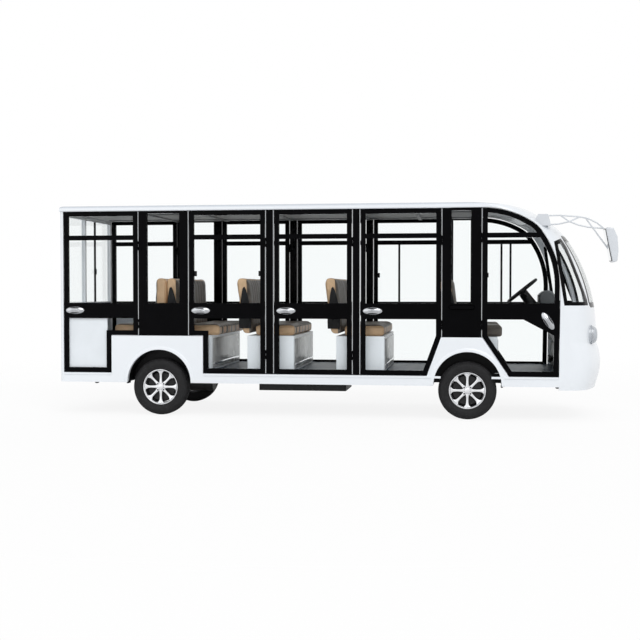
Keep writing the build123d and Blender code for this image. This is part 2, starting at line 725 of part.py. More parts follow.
# Wheels: alloy rims with eight spokes, tyres with rounded shoulders
spoke_count = 8
hub_cap_radius = 30
cap_height = 7
hub_face_radius = 60
hub_back = 18
face_inset = 8
barrel_wall = 7
spoke_reach = 164
spoke_tip_width = 42
spoke_flare = 5
spoke_depth = 24
lug_count = 4
lug_circle_radius = 47
lug_radius = 9
bead_gap = 0.3
wheels = [
    ("rear_right", rear_axle_x, -1),
    ("rear_left", rear_axle_x, 1),
    ("front_right", front_axle_x, -1),
    ("front_left", front_axle_x, 1),
]
for stem, axle_x, side in wheels:
    outside = Plane(origin=(axle_x, side * wheel_y, axle_height), x_dir=(side * -1, 0, 0), z_dir=(0, side, 0))
    # profile plane: x is the radius, y is outwards along the axle
    profile = Plane(origin=(axle_x, side * wheel_y, axle_height), x_dir=(0, 0, 1), z_dir=(-side, 0, 0))
    axle = Axis((axle_x, side * wheel_y, axle_height), (0, 1, 0))
    half_tyre = tyre_width / 2
    half_rim = rim_width / 2
    outer = tyre_diameter / 2
    with BuildPart() as tyre:
        with BuildSketch(profile):
            with BuildLine():
                tread = ThreePointArc((outer - 4, -half_tyre + 28), (outer, 0), (outer - 4, half_tyre - 28))
                ThreePointArc(tread @ 1, (outer - 14, half_tyre - 9), (outer - 34, half_tyre - 3))
                ThreePointArc((outer - 34, half_tyre - 3), (outer - 56, half_tyre),
                              (rim_flange_radius + 6, half_rim + 4))
                Line((rim_flange_radius + 6, half_rim + 4), (rim_flange_radius + 1, half_rim - 12))
                Line((rim_flange_radius + 1, half_rim - 12), (rim_bead_radius + bead_gap, half_rim - 12))
                Line((rim_bead_radius + bead_gap, half_rim - 12),
                     (rim_bead_radius + bead_gap, -half_rim + 12))
                Line((rim_bead_radius + bead_gap, -half_rim + 12), (rim_flange_radius + 1, -half_rim + 12))
                Line((rim_flange_radius + 1, -half_rim + 12), (rim_flange_radius + 6, -half_rim - 4))
                ThreePointArc((rim_flange_radius + 6, -half_rim - 4), (outer - 56, -half_tyre),
                              (outer - 34, -half_tyre + 3))
                ThreePointArc((outer - 34, -half_tyre + 3), (outer - 14, -half_tyre + 9), tread @ 0)
            make_face()
        revolve(axis=axle)
    save(tyre.part, f"tyre_{stem}")

    with BuildPart() as rim:
        with BuildSketch(profile):
            with BuildLine():
                Polyline((rim_flange_radius, half_rim), (rim_flange_radius, half_rim - 9),
                         (rim_bead_radius, half_rim - 11), (rim_bead_radius, -half_rim + 11),
                         (rim_flange_radius, -half_rim + 9), (rim_flange_radius, -half_rim),
                         (rim_bead_radius - barrel_wall, -half_rim),
                         (rim_bead_radius - barrel_wall, half_rim),
                         close=True)
            make_face()
        revolve(axis=axle)
        spoke_face = half_rim - face_inset
        with BuildSketch(outside.offset(spoke_face - spoke_depth)):
            Circle(hub_face_radius)
            with PolarLocations(spoke_reach / 2, spoke_count, start_angle=90):
                Trapezoid(spoke_tip_width, spoke_reach, 90 - spoke_flare, rotation=-90)
        extrude(amount=spoke_depth)
        # raised cap in the middle and the lug nuts round it
        with BuildSketch(outside.offset(spoke_face)):
            Circle(hub_cap_radius)
        extrude(amount=cap_height, taper=20)
        with BuildSketch(outside.offset(spoke_face)):
            with PolarLocations(lug_circle_radius, lug_count, start_angle=45):
                RegularPolygon(lug_radius, 6)
        extrude(amount=cap_height)
        with BuildSketch(outside.offset(spoke_face - spoke_depth - hub_back)):
            Circle(hub_face_radius)
        extrude(amount=hub_back)
        with BuildSketch(outside):
            Circle(spindle_radius + hinge_running_gap)
        extrude(amount=spindle_end_y - wheel_y + 1, mode=Mode.SUBTRACT)
    save(rim.part, f"rim_{stem}")

# Fixed glass in the side panels, the quarter windows and the rear window
rear_glass_inset = 13
side_glass_inset = 17
with BuildPart() as quarter_glass:
    add(nose_outside)
    add(nose_behind_glass, mode=Mode.SUBTRACT)
    add(quarter_cut.part, mode=Mode.INTERSECT)
with BuildPart() as fixed_glass:
    for name in panel_windows:
        window_from, window_to = panel_windows[name]
        with Locations((start_x[name] + (window_from + window_to) / 2, -half_width + side_glass_inset,
                        (belt_top + panel_window_top) / 2)):
            Box(window_to - window_from, glass_thickness, panel_window_top - belt_top)
    mirror(about=Plane.XZ)
    low_y = -half_width + rear_side_margin
    for post_y in [*rear_post_y, half_width - rear_side_margin + rear_post_width / 2]:
        high_y = post_y - rear_post_width / 2
        rear_window_z = (rear_window_low + rear_window_high) / 2
        with Locations((rear_end + rear_glass_inset, (low_y + high_y) / 2, rear_window_z)):
            Box(glass_thickness, high_y - low_y, rear_window_high - rear_window_low)
        low_y = post_y + rear_post_width / 2
    add(quarter_glass.part)
save(fixed_glass.part, "fixed_glass")

# Seats: white base boxes on the floor with cushions and backs
bench_width = 1250
bench_depth = 420
cushion_height = 105
cushion_top = 902
back_thickness = 105
back_height = 590
back_lean = 7
back_gap = 6
seat_clearance = 0.3
base_inset_y = 660
# columns: name, base from, base to, facing, rear of the cushion, lean of the back
benches = [
    ("rear_facing", 520, 1066, -1, 930, 3),
    ("second", 1078, 1545, 1, 1200, 3),
    ("third", 1907, 2376, 1, 1960, back_lean),
    ("fourth", 2796, 3270, 1, 2850, back_lean),
]
front_base = (3850, 4360)
front_seat_y = 350
front_seat_width = 480
front_seat_rear = 3985
base_top = cushion_top - cushion_height
with BuildPart() as seat_bases:
    for name, base_from, base_to, facing, rear, lean in benches:
        with Locations((rear_end + base_from, 0, floor_top)):
            Box(base_to - base_from, 2 * base_inset_y, base_top - floor_top,
                align=(Align.MIN, Align.CENTER, Align.MIN))
    with Locations((rear_end + front_base[0], 0, floor_top)):
        Box(front_base[1] - front_base[0], 2 * base_inset_y, base_top - floor_top,
            align=(Align.MIN, Align.CENTER, Align.MIN))
    for axle_x, house_y in ((rear_axle_x, rear_house_inner_y), (front_axle_x, front_house_inner_y)):
        for side in (-1, 1):
            with Locations((axle_x, side * (half_width + house_y) / 2, arch_height)):
                Cylinder(arch_radius + wheel_house_wall, half_width - house_y, rotation=(90, 0, 0),
                         mode=Mode.SUBTRACT)
save(seat_bases.part, "seat_bases")

with BuildPart() as cushions:
    for name, base_from, base_to, facing, rear, lean in benches:
        with Locations((rear_end + rear + facing * (back_gap + bench_depth / 2), 0,
                        base_top + seat_clearance + cushion_height / 2)):
            Box(bench_depth, bench_width, cushion_height)
    fillet(cushions.edges(), 22)
save(cushions.part, "bench_cushions")



def back_outline(front_x, facing, lean):
    # a seat back behind its cushion, flat at the foot and leaning away from the sitter
    foot = base_top + seat_clearance
    tip = facing * back_height * tan(radians(lean))
    rear_x = front_x - facing * back_thickness
    Polyline((front_x, foot), (rear_x, foot), (rear_x - tip, foot + back_height),
             (front_x - tip, foot + back_height), close=True)


with BuildPart() as backs:
    for name, base_from, base_to, facing, rear, lean in benches:
        with BuildSketch(Plane.XZ.offset(-bench_width / 2)):
            with BuildLine():
                back_outline(rear_end + rear, facing, lean)
            make_face()
            fillet(vertices().group_by(Axis.Z)[-1], 35)
        extrude(amount=bench_width)
save(backs.part, "bench_backs")

with BuildPart() as front_seats:
    for side in (-1, 1):
        with Locations((rear_end + front_seat_rear + bench_depth / 2 + 20, side * front_seat_y,
                        base_top + seat_clearance + cushion_height / 2)):
            Box(bench_depth, front_seat_width, cushion_height)
        with BuildSketch(Plane.XZ.offset(-side * front_seat_y - front_seat_width / 2)):
            with BuildLine():
                back_outline(rear_end + front_seat_rear, 1, back_lean)
            make_face()
            fillet(vertices().group_by(Axis.Z)[-1], 35)
        extrude(amount=front_seat_width)
save(front_seats.part, "front_seats")

# Dashboard, steering column and steering wheel on the left
dash_from = 4990
dash_depth = 250
dash_low = 640
dash_high = 1090
dash_half_width = 690
wheel_station = 4641
wheel_height = 1244
steering_y = 350
column_tilt = 39
column_radius = 24
rim_tube_radius = 15
hub_gap = 0.3
column_length = 560
pod_radius = 66
pod_width = 280
pod_inset = -10
pod_edge = 12
with BuildPart() as dashboard:
    with BuildSketch(Plane.XZ.offset(-dash_half_width)):
        with BuildLine():
            back = rear_end + dash_from
            Polyline((back, dash_low), (back - 110, dash_high - 150), (back - 90, dash_high - 20),
                     (back + dash_depth, dash_high - 20), (back + dash_depth + 30, dash_low), close=True)
        make_face()
        fillet(vertices().group_by(Axis.X)[0], 30)
    extrude(amount=2 * dash_half_width)
    # hooded instrument pod ahead of the steering wheel
    with Locations((back + pod_inset, steering_y, dash_high - 20)):
        Cylinder(pod_radius, pod_width, rotation=(90, 0, 0))
    fillet(edges().filter_by(GeomType.CIRCLE).group_by(Axis.Z)[-1], pod_edge)
    add(nose_inside, mode=Mode.INTERSECT)
save(dashboard.part, "dashboard")

tilt = radians(column_tilt)
wheel_plane = Plane(origin=(rear_end + wheel_station, steering_y, wheel_height),
                    x_dir=(cos(tilt), 0, sin(tilt)), z_dir=(-sin(tilt), 0, cos(tilt)))
with BuildPart() as steering_wheel:
    with BuildSketch(Plane(origin=wheel_plane.origin, x_dir=wheel_plane.x_dir, z_dir=wheel_plane.y_dir)):
        with Locations((steering_wheel_diameter / 2 - rim_tube_radius, 0)):
            Circle(rim_tube_radius)
    revolve(axis=Axis(wheel_plane.origin, wheel_plane.z_dir))
    with BuildSketch(wheel_plane.offset(-14)):
        Circle(60)
        with PolarLocations(0, 3, start_angle=90):
            with Locations((steering_wheel_diameter / 4, 0)):
                Rectangle(steering_wheel_diameter / 2 - 2 * rim_tube_radius + 10, 34)
    extrude(amount=20)
save(steering_wheel.part, "steering_wheel")

with BuildPart() as column:
    with BuildSketch(wheel_plane.offset(-14 - hub_gap)):
        Circle(column_radius + 16)
    extrude(amount=-180)
    with BuildSketch(wheel_plane.offset(-14 - hub_gap - 180)):
        Circle(column_radius)
    extrude(amount=-column_length + 180)
    add(dashboard.part, mode=Mode.SUBTRACT)
save(column.part, "steering_column")

# Mirrors on openwork arms
arm_tube_radius = 7
arm_y = 655
arm_root = [(4682, 1859), (4732, 1972), (4826, 1971), (4854, 1861)]
arm_tubes = [
    [(4826, 1958), (4942, 1960), (5125, 1944), (5205, 1925), (5285, 1884), (5346, 1832)],
    [(4840, 1872), (4930, 1878), (5028, 1900), (5125, 1944)],
    [(4942, 1960), (5028, 1900), (5113, 1866), (5205, 1845), (5346, 1832)],
    [(5175, 1936), (5387, 1640)],
]
head_profile = [(5350, 1840), (5425, 1834), (5462, 1752), (5472, 1618), (5462, 1520), (5418, 1505),
                (5384, 1667)]
head_profile_radius = 16
head_edge_radius = 14
head_width = 190
with BuildPart() as mirror_arms:
    with BuildSketch(Plane.XZ.offset(arm_y - 45)):
        with BuildLine():
            Polyline(*[(rear_end + x, z) for x, z in arm_root], close=True)
        make_face()
    extrude(amount=90)
    add(nose_outside, mode=Mode.SUBTRACT)
    add(roof.part, mode=Mode.SUBTRACT)
    for tube in arm_tubes:
        for (x0, z0), (x1, z1) in zip(tube, tube[1:]):
            length = sqrt((x1 - x0) ** 2 + (z1 - z0) ** 2)
            start = Plane(origin=(rear_end + x0, -arm_y, z0), z_dir=(x1 - x0, 0, z1 - z0))
            with Locations(start.location):
                Cylinder(arm_tube_radius, length, align=(Align.CENTER, Align.CENTER, Align.MIN))
        for x, z in tube:
            with Locations((rear_end + x, -arm_y, z)):
                Sphere(arm_tube_radius)
with BuildPart() as mirror_heads:
    with BuildSketch(Plane.XZ.offset(arm_y - head_width / 2)):
        with BuildLine():
            Polyline(*[(rear_end + x, z) for x, z in head_profile], close=True)
        make_face()
        fillet(vertices(), head_profile_radius)
    extrude(amount=head_width)
    fillet(edges().group_by(Axis.Y)[0] + edges().group_by(Axis.Y)[-1], head_edge_radius)
with BuildPart() as arms_clear:
    add(mirror_arms.part)
    add(mirror_heads.part, mode=Mode.SUBTRACT)
save(arms_clear.part, "mirror_arms")
save(mirror_heads.part, "mirror_heads")
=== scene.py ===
import math

import bmesh
import bpy
from mathutils import Euler, Matrix, Vector


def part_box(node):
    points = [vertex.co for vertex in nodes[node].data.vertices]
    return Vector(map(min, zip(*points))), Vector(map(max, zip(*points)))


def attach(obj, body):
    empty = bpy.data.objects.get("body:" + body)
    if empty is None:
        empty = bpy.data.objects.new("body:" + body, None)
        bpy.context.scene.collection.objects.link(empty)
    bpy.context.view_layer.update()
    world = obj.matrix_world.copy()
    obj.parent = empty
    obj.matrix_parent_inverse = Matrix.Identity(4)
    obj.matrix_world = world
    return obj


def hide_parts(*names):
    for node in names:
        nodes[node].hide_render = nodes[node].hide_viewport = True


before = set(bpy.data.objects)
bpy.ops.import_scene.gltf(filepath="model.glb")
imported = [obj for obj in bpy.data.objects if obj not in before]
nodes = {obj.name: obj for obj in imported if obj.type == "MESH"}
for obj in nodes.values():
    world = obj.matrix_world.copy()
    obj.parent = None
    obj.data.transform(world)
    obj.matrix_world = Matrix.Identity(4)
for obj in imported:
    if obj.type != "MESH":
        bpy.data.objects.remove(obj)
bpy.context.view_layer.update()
scene = bpy.context.scene
print("frame loaded:", len(nodes), "nodes")

halfBus = 2.736  # rear end to the middle of the bus
sides = {"right": -1, "left": 1}
doorNames = ["door_1", "door_2", "door_3", "door_4", "front_door"]


def station(fromRear):
    # millimetres from the rear end, as the bus is measured, to metres along X
    return fromRear / 1000 - halfBus


# Materials

def newFinish(name, values):
    # a new material, with its even values set on the shader itself
    finish = bpy.data.materials.new(name)
    finish.use_nodes = True
    tree = finish.node_tree
    shader = tree.nodes["Principled BSDF"]
    for key, value in values.items():
        shader.inputs[key].default_value = value
    return finish, tree, shader


def place(tree, kind, source=None, values=None, socket=0):
    # a node with its inputs or settings filled in, fed by the source
    node = tree.nodes.new(kind)
    for key, value in (values or {}).items():
        if key in node.inputs:
            node.inputs[key].default_value = value
        else:
            setattr(node, key, value)
    if source is not None:
        tree.links.new(source, node.inputs[socket])
    return node


def feed(tree, target, value):
    # the value is another node's output, or a plain number or colour
    if isinstance(value, bpy.types.NodeSocket):
        tree.links.new(value, target)
    else:
        target.default_value = value


def maths(tree, operation, first, second=0.0):
    node = place(tree, "ShaderNodeMath", first, {"operation": operation})
    feed(tree, node.inputs[1], second)
    return node.outputs[0]


def objectPlace(tree):
    return tree.nodes.new("ShaderNodeTexCoord").outputs["Object"]


def alongWay(tree, where, direction):
    node = place(tree, "ShaderNodeVectorMath", where, {"operation": "DOT_PRODUCT"})
    node.inputs[1].default_value = direction
    return node.outputs["Value"]


def mapped(tree, source, values):
    return place(tree, "ShaderNodeMapRange", source, values).outputs["Result"]


def tone(colour, share):
    return tuple(min(1.0, c * share) for c in colour) + (1.0,)


def colourRange(tree, source, low, high, lowAt=0.0, highAt=1.0):
    ramp = place(tree, "ShaderNodeValToRGB", source)
    for element, at, colour in zip(ramp.color_ramp.elements, (lowAt, highAt), (low, high)):
        element.position = at
        element.color = colour
    return ramp.outputs["Color"]


def mixColours(tree, share, first, second):
    node = place(tree, "ShaderNodeMix", None, {"data_type": "RGBA"})
    for slot, value in ((0, share), (6, first), (7, second)):
        feed(tree, node.inputs[slot], value)
    return node.outputs[2]


def mixShaders(tree, share, first, second):
    node = place(tree, "ShaderNodeMixShader", share)
    tree.links.new(first.outputs[0], node.inputs[1])
    tree.links.new(second.outputs[0], node.inputs[2])
    return node


def addSheen(tree, shader, source, low, high):
    tree.links.new(mapped(tree, source, {"To Min": low, "To Max": high}), shader.inputs["Roughness"])


def addBump(tree, shader, source, strength, distance):
    bump = place(tree, "ShaderNodeBump", source, {"Strength": strength, "Distance": distance}, "Height")
    tree.links.new(bump.outputs["Normal"], shader.inputs["Normal"])


def coatedFinish(name, colour, roughness, metallic=0.0, coat=0.0, specular=0.5, cloud=5.0, spread=0.03,
                 sheenSpread=0.2, grain=0.0, grainScale=500.0):
    # cloudy colour and sheen over the whole piece, with a fine grain where the surface has one
    finish, tree, shader = newFinish(name, {"Metallic": metallic, "Specular IOR Level": specular,
                                            "Coat Weight": coat, "Coat Roughness": 0.06})
    where = objectPlace(tree)
    noise = place(tree, "ShaderNodeTexNoise", where, {"Scale": cloud, "Detail": 5.0}).outputs["Fac"]
    colours = colourRange(tree, noise, tone(colour, 1 - spread), tone(colour, 1 + spread), 0.3, 0.7)
    tree.links.new(colours, shader.inputs["Base Color"])
    addSheen(tree, shader, noise, roughness * (1 - sheenSpread), roughness * (1 + sheenSpread))
    if grain:
        fine = place(tree, "ShaderNodeTexNoise", where, {"Scale": grainScale, "Detail": 3.0})
        addBump(tree, shader, fine.outputs["Fac"], grain, 0.0006)
    return finish


def edgeDistance(tree, where, outline, axes):
    # how far inside a straight-sided outline a point is, in metres
    middle = Vector((sum(p[0] for p in outline), sum(p[1] for p in outline))) / len(outline)
    nearest = None
    for corner, after in zip(outline, outline[1:] + outline[:1]):
        normal = Vector((corner[1] - after[1], after[0] - corner[0])).normalized()
        if normal.dot(middle - Vector(corner)) < 0:
            normal = -normal
        direction = [0.0, 0.0, 0.0]
        direction[axes[0]], direction[axes[1]] = normal.x, normal.y
        away = maths(tree, "SUBTRACT", alongWay(tree, where, direction), normal.dot(Vector(corner)))
        nearest = away if nearest is None else maths(tree, "MINIMUM", nearest, away)
    return nearest


glazing = {
    "tint": (0.982, 0.99, 0.99, 1.0), "falloff": 4.0, "sheen": 0.45, "sheenRoughness": 0.02,
    "print": (0.002, 0.002, 0.0025, 1), "printRoughness": 0.16, "printSpecular": 0.06,
    "quarterOutline": [(station(4880), 1.709), (station(4976), 1.755), (station(5227), 1.102),
                       (station(4977), 1.102)],
    "quarterBand": 0.034, "quarterFrom": 2.0,
    "screenOutline": [(-0.536, 1.08), (0.536, 1.08), (0.53, 1.775), (-0.53, 1.775)],
    "screenBand": 0.045,
}


def glassFinish(name, outline=None, axes=(0, 2), band=0.0, firstX=-9.0):
    # clear safety glass; a black printed band runs round the panes that are glued in
    finish, tree, shader = newFinish(name, {"Base Color": glazing["print"],
                                            "Roughness": glazing["printRoughness"],
                                            "Specular IOR Level": glazing["printSpecular"]})
    clear = place(tree, "ShaderNodeBsdfTransparent", None, {"Color": glazing["tint"]})
    shine = place(tree, "ShaderNodeBsdfGlossy", None, {"Roughness": glazing["sheenRoughness"]})
    facing = tree.nodes.new("ShaderNodeLayerWeight").outputs["Facing"]
    share = maths(tree, "MULTIPLY", maths(tree, "POWER", facing, glazing["falloff"]), glazing["sheen"])
    result = mixShaders(tree, share, clear, shine)
    if outline:
        where = objectPlace(tree)
        edge = maths(tree, "LESS_THAN", edgeDistance(tree, where, outline, axes), band)
        parts = place(tree, "ShaderNodeSeparateXYZ", where)
        ahead = maths(tree, "GREATER_THAN", parts.outputs["X"], firstX)
        result = mixShaders(tree, maths(tree, "MULTIPLY", edge, ahead), result, shader)
    tree.links.new(result.outputs[0], tree.nodes["Material Output"].inputs["Surface"])
    return finish


leather = {"tan": (0.60, 0.40, 0.24), "taupe": (0.125, 0.105, 0.088), "bandPeriod": 0.21, "bandOffset": 0.02,
           "bandFrom": 0.72, "endBand": 0.54, "topFrom": 0.874, "topEnd": 0.585, "grainScale": 260.0,
           "wornTo": (0.9, 1.12), "roughness": (0.34, 0.48)}


def leatherFinish(name, split=None):
    # grained leatherette, tan with taupe: bands and the top of a cushion, or the front half of a back
    finish, tree, shader = newFinish(name, {"Specular IOR Level": 0.45})
    where = objectPlace(tree)
    if split:
        seamX, seamZ, lean, facing = split  # the seam's X and height, its lean and the way the seat faces
        ahead = alongWay(tree, where, (facing, 0.0, -lean * facing))
        dark = maths(tree, "GREATER_THAN", ahead, facing * (seamX - lean * seamZ))
    else:
        parts = place(tree, "ShaderNodeSeparateXYZ", where)
        across = maths(tree, "ABSOLUTE", parts.outputs["Y"])
        moved = maths(tree, "SUBTRACT", across, leather["bandOffset"])
        share = maths(tree, "FRACT", maths(tree, "DIVIDE", moved, leather["bandPeriod"]))
        inBand = maths(tree, "GREATER_THAN", share, leather["bandFrom"])
        banded = maths(tree, "MULTIPLY", inBand, maths(tree, "LESS_THAN", across, leather["endBand"]))
        onTop = maths(tree, "GREATER_THAN", parts.outputs["Z"], leather["topFrom"])
        topPanel = maths(tree, "MULTIPLY", onTop, maths(tree, "LESS_THAN", across, leather["topEnd"]))
        dark = maths(tree, "MAXIMUM", topPanel, banded)
    noise = place(tree, "ShaderNodeTexNoise", where, {"Scale": 14.0, "Detail": 6.0}).outputs["Fac"]
    low, high = leather["wornTo"]
    tan, taupe = [colourRange(tree, noise, tone(leather[key], low), tone(leather[key], high), 0.3, 0.72)
                  for key in ("tan", "taupe")]
    tree.links.new(mixColours(tree, dark, tan, taupe), shader.inputs["Base Color"])
    cells = place(tree, "ShaderNodeTexVoronoi", where, {"Scale": leather["grainScale"]}).outputs["Distance"]
    addSheen(tree, shader, cells, *leather["roughness"])
    addBump(tree, shader, cells, 0.25, 0.0008)
    return finish


# painted shade: a grey-blue darkening on the roof's outer top edge, growing with height
roofEdgeShade = {"fromY": 0.705, "low": 2.062, "high": 2.082, "strength": 0.65, "shade": (0.36, 0.41, 0.48, 1)}


def roofFinish(name, colour):
    # body white with painted shade darkening the rolled edge along the top of the roof's sides
    finish, tree, shader = newFinish(name, {"Coat Weight": 0.5, "Coat Roughness": 0.06})
    where = objectPlace(tree)
    parts = place(tree, "ShaderNodeSeparateXYZ", where)
    noise = place(tree, "ShaderNodeTexNoise", where, {"Scale": 1.2, "Detail": 5.0}).outputs["Fac"]
    white = colourRange(tree, noise, tone(colour, 0.994), tone(colour, 1.006))
    outer = maths(tree, "GREATER_THAN", maths(tree, "ABSOLUTE", parts.outputs["Y"]), roofEdgeShade["fromY"])
    rise = mapped(tree, parts.outputs["Z"], {"From Min": roofEdgeShade["low"], "From Max": roofEdgeShade["high"],
                                             "To Max": roofEdgeShade["strength"]})
    shaded = mixColours(tree, maths(tree, "MULTIPLY", rise, outer), white, roofEdgeShade["shade"])
    tree.links.new(shaded, shader.inputs["Base Color"])
    addSheen(tree, shader, noise, 0.27, 0.29)
    return finish


alloy = {"faceDepth": 0.6895, "pocket": (0.035, 0.036, 0.04, 1), "dull": (0.72, 0.73, 0.75, 1),
         "bright": (0.90, 0.91, 0.93, 1)}


def alloyFinish(name):
    # machined faces near the outside of the wheel, dark painted pockets behind them
    finish, tree, shader = newFinish(name, {})
    where = objectPlace(tree)
    parts = place(tree, "ShaderNodeSeparateXYZ", where)
    face = maths(tree, "GREATER_THAN", maths(tree, "ABSOLUTE", parts.outputs["Y"]), alloy["faceDepth"])
    brushed = place(tree, "ShaderNodeTexNoise", where, {"Scale": 60.0, "Detail": 4.0}).outputs["Fac"]
    machined = colourRange(tree, brushed, alloy["dull"], alloy["bright"])
    tree.links.new(mixColours(tree, face, alloy["pocket"], machined), shader.inputs["Base Color"])
    tree.links.new(face, shader.inputs["Metallic"])
    addSheen(tree, shader, brushed, 0.22, 0.36)
    return finish


def lensFinish(name, colour, ribs):
    # moulded lens with fine ribs behind a glossy face
    finish, tree, shader = newFinish(name, {"Coat Weight": 0.8, "Roughness": 0.18})
    wave = place(tree, "ShaderNodeTexWave", objectPlace(tree), {"Scale": ribs, "bands_direction": "Z"})
    colours = colourRange(tree, wave.outputs["Fac"], tone(colour, 0.72), tone(colour, 1.05))
    tree.links.new(colours, shader.inputs["Base Color"])
    addBump(tree, shader, wave.outputs["Fac"], 0.3, 0.001)
    return finish


paint = (0.80, 0.835, 0.875)
bodyWhite = coatedFinish("body white", paint, 0.28, coat=0.4, cloud=1.2, spread=0.006, sheenSpread=0.04)
roofWhite = roofFinish("roof white", paint)
frameBlack = coatedFinish("frame black", (0.0014, 0.0014, 0.0019), 0.2, specular=0.035, cloud=9.0, spread=0.25)
rubberGrey = coatedFinish("tyre rubber", (0.016, 0.016, 0.017), 0.66, specular=0.18, cloud=30.0, spread=0.2,
                          grain=0.5, grainScale=320.0)
chassisBlack = coatedFinish("chassis black", (0.02, 0.02, 0.021), 0.5, specular=0.3, cloud=14.0, spread=0.25,
                            grain=0.2)
castGrey = coatedFinish("cast metal", (0.06, 0.06, 0.062), 0.55, metallic=0.6, cloud=20.0, spread=0.2, grain=0.4,
                        grainScale=240.0)
floorVinyl = coatedFinish("floor vinyl", (0.03, 0.045, 0.07), 0.42, specular=0.25, cloud=8.0, spread=0.3,
                          grain=0.3, grainScale=180.0)
blackPlastic = coatedFinish("black plastic", (0.007, 0.007, 0.008), 0.42, specular=0.2, cloud=12.0, spread=0.15,
                            grain=0.35, grainScale=600.0)
greyPlastic = coatedFinish("grey plastic", (0.105, 0.112, 0.118), 0.5, cloud=10.0, spread=0.1, grain=0.35)
liningGrey = coatedFinish("ceiling lining", (0.28, 0.285, 0.29), 0.62, cloud=6.0, spread=0.2, grain=0.3,
                          grainScale=160.0)
baseWhite = coatedFinish("base white", (0.78, 0.81, 0.85), 0.34, cloud=4.0)
panelGrey = coatedFinish("panel grey", (0.42, 0.42, 0.42), 0.26, spread=0.2)
chrome = coatedFinish("chrome", (0.78, 0.79, 0.81), 0.09, metallic=1.0, cloud=16.0, spread=0.04)
# painted shade: body white greyed down, so the white mirror arms and heads and the gutter strips carry shade in
# their colour
shadedMirrorWhite = coatedFinish("mirror white painted shade", (0.64, 0.67, 0.71), 0.3, coat=0.4, cloud=8.0, spread=0.04)
handleChrome = coatedFinish("handle chrome", (0.5, 0.515, 0.54), 0.12, metallic=1.0, cloud=22.0, spread=0.15)
# painted shade: near-black for the shadow inside the handles' finger recesses
recessShade = coatedFinish("handle recess shade", (0.03, 0.031, 0.034), 0.3, specular=0.2, cloud=20.0, spread=0.2)
mirrorGlass = coatedFinish("mirror glass", (0.85, 0.87, 0.88), 0.03, metallic=1.0, cloud=3.0, spread=0.01)
trimPale = coatedFinish("pale trim", (0.5, 0.52, 0.54), 0.4, cloud=8.0)
clearGlass = glassFinish("clear glass")
fixedGlass = glassFinish("banded side glass", glazing["quarterOutline"], (0, 2), glazing["quarterBand"],
                         glazing["quarterFrom"])
screenGlass = glassFinish("banded screen glass", glazing["screenOutline"], (1, 2), glazing["screenBand"])
alloyBright = alloyFinish("alloy wheel")
drumBlack = coatedFinish("brake drum", (0.012, 0.012, 0.013), 0.5, metallic=0.3, cloud=30.0, spread=0.3)
lampLens = lensFinish("lamp lens", (0.50, 0.53, 0.57), 30.0)
tailLens = lensFinish("tail lens", (0.45, 0.012, 0.012), 40.0)
print("materials made")


# Mesh helpers

sameSpot = 0.00002  # corners nearer than this are one corner


def shadePiece(name, bm, finish, body, angle=35):
    # smooth faces with sharp edges past the angle, as an object that rides on its body
    for face in bm.faces:
        face.smooth = True
    for edge in bm.edges:
        edge.smooth = len(edge.link_faces) == 2 and edge.calc_face_angle() <= math.radians(angle)
    mesh = bpy.data.meshes.new(name)
    bm.to_mesh(mesh)
    bm.free()
    mesh.materials.append(finish)
    piece = bpy.data.objects.new(name, mesh)
    scene.collection.objects.link(piece)
    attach(piece, body)
    return piece


def finishPiece(name, bm, finish, body, angle=35):
    bmesh.ops.recalc_face_normals(bm, faces=bm.faces)
    return shadePiece(name, bm, finish, body, angle)


def soften(bm, edges, offset, segments):
    bmesh.ops.bevel(bm, geom=edges, offset=offset, segments=segments, profile=0.5, affect="EDGES", material=-1)


def addBlock(bm, low, high, bevel, segments=2):
    # a block between two corners with its edges rounded
    made = bmesh.ops.create_cube(bm, size=1.0)["verts"]
    low, high = Vector(low), Vector(high)
    bmesh.ops.scale(bm, vec=high - low, verts=made)
    bmesh.ops.translate(bm, vec=(low + high) / 2, verts=made)
    soften(bm, list({e for v in made for e in v.link_edges}), bevel, segments)


def addSideBlock(bm, sign, along, across, heights, bevel, segments=2):
    # a block on one side of the bus: its reach along it, its distances from the middle and its heights
    xs, ys = sorted(along), sorted(sign * y for y in across)
    addBlock(bm, (xs[0], ys[0], heights[0]), (xs[1], ys[1], heights[1]), bevel, segments)


def addTube(bm, start, end, radius, segments=16, endRadius=None):
    start, end = Vector(start), Vector(end)
    run = end - start
    turn = run.to_track_quat("Z", "Y").to_matrix().to_4x4()
    bmesh.ops.create_cone(bm, cap_ends=True, segments=segments, radius1=radius,
                          radius2=radius if endRadius is None else endRadius, depth=run.length,
                          matrix=Matrix.Translation((start + end) / 2) @ turn)


def addEgg(bm, centre, halfSize, turn, segments=32):
    # ellipsoid about a point, turned about its own middle first
    bmesh.ops.create_uvsphere(bm, u_segments=segments, v_segments=segments // 2, radius=1.0,
                              matrix=Matrix.Translation(centre) @ turn.to_matrix().to_4x4()
                              @ Matrix.Diagonal((*halfSize, 1.0)))


def addRing(bm, corners):
    # corners joined in a closed ring of edges
    made = [bm.verts.new(corner) for corner in corners]
    return made, [bm.edges.new(pair) for pair in zip(made, made[1:] + made[:1])]


def addRevolve(bm, centre, outline, steps):
    # a closed outline of radius and offset turned round the wheel's axle
    made, joints = addRing(bm, [(centre.x + radius, centre.y + offset, centre.z) for radius, offset in outline])
    bmesh.ops.spin(bm, geom=made + joints, cent=centre, axis=(0, 1, 0), angle=math.tau, steps=steps, use_merge=True)


def addPlate(bm, near, far):
    # a closed solid, extruded from one outline to its like further on; gives the corners of both
    starts = [bm.verts.new(corner) for corner in near]
    grown = bmesh.ops.extrude_face_region(bm, geom=[bm.faces.new(starts)])["geom"]
    fresh = {item for item in grown if isinstance(item, bmesh.types.BMVert)}
    ends = [next(e.other_vert(v) for e in v.link_edges if e.other_vert(v) in fresh) for v in starts]
    for vertex, corner in zip(ends, far):
        vertex.co = corner
    bm.normal_update()
    return starts, ends


def ringEdges(bm, row):
    return [bm.edges.get(pair) for pair in zip(row, row[1:] + row[:1])]


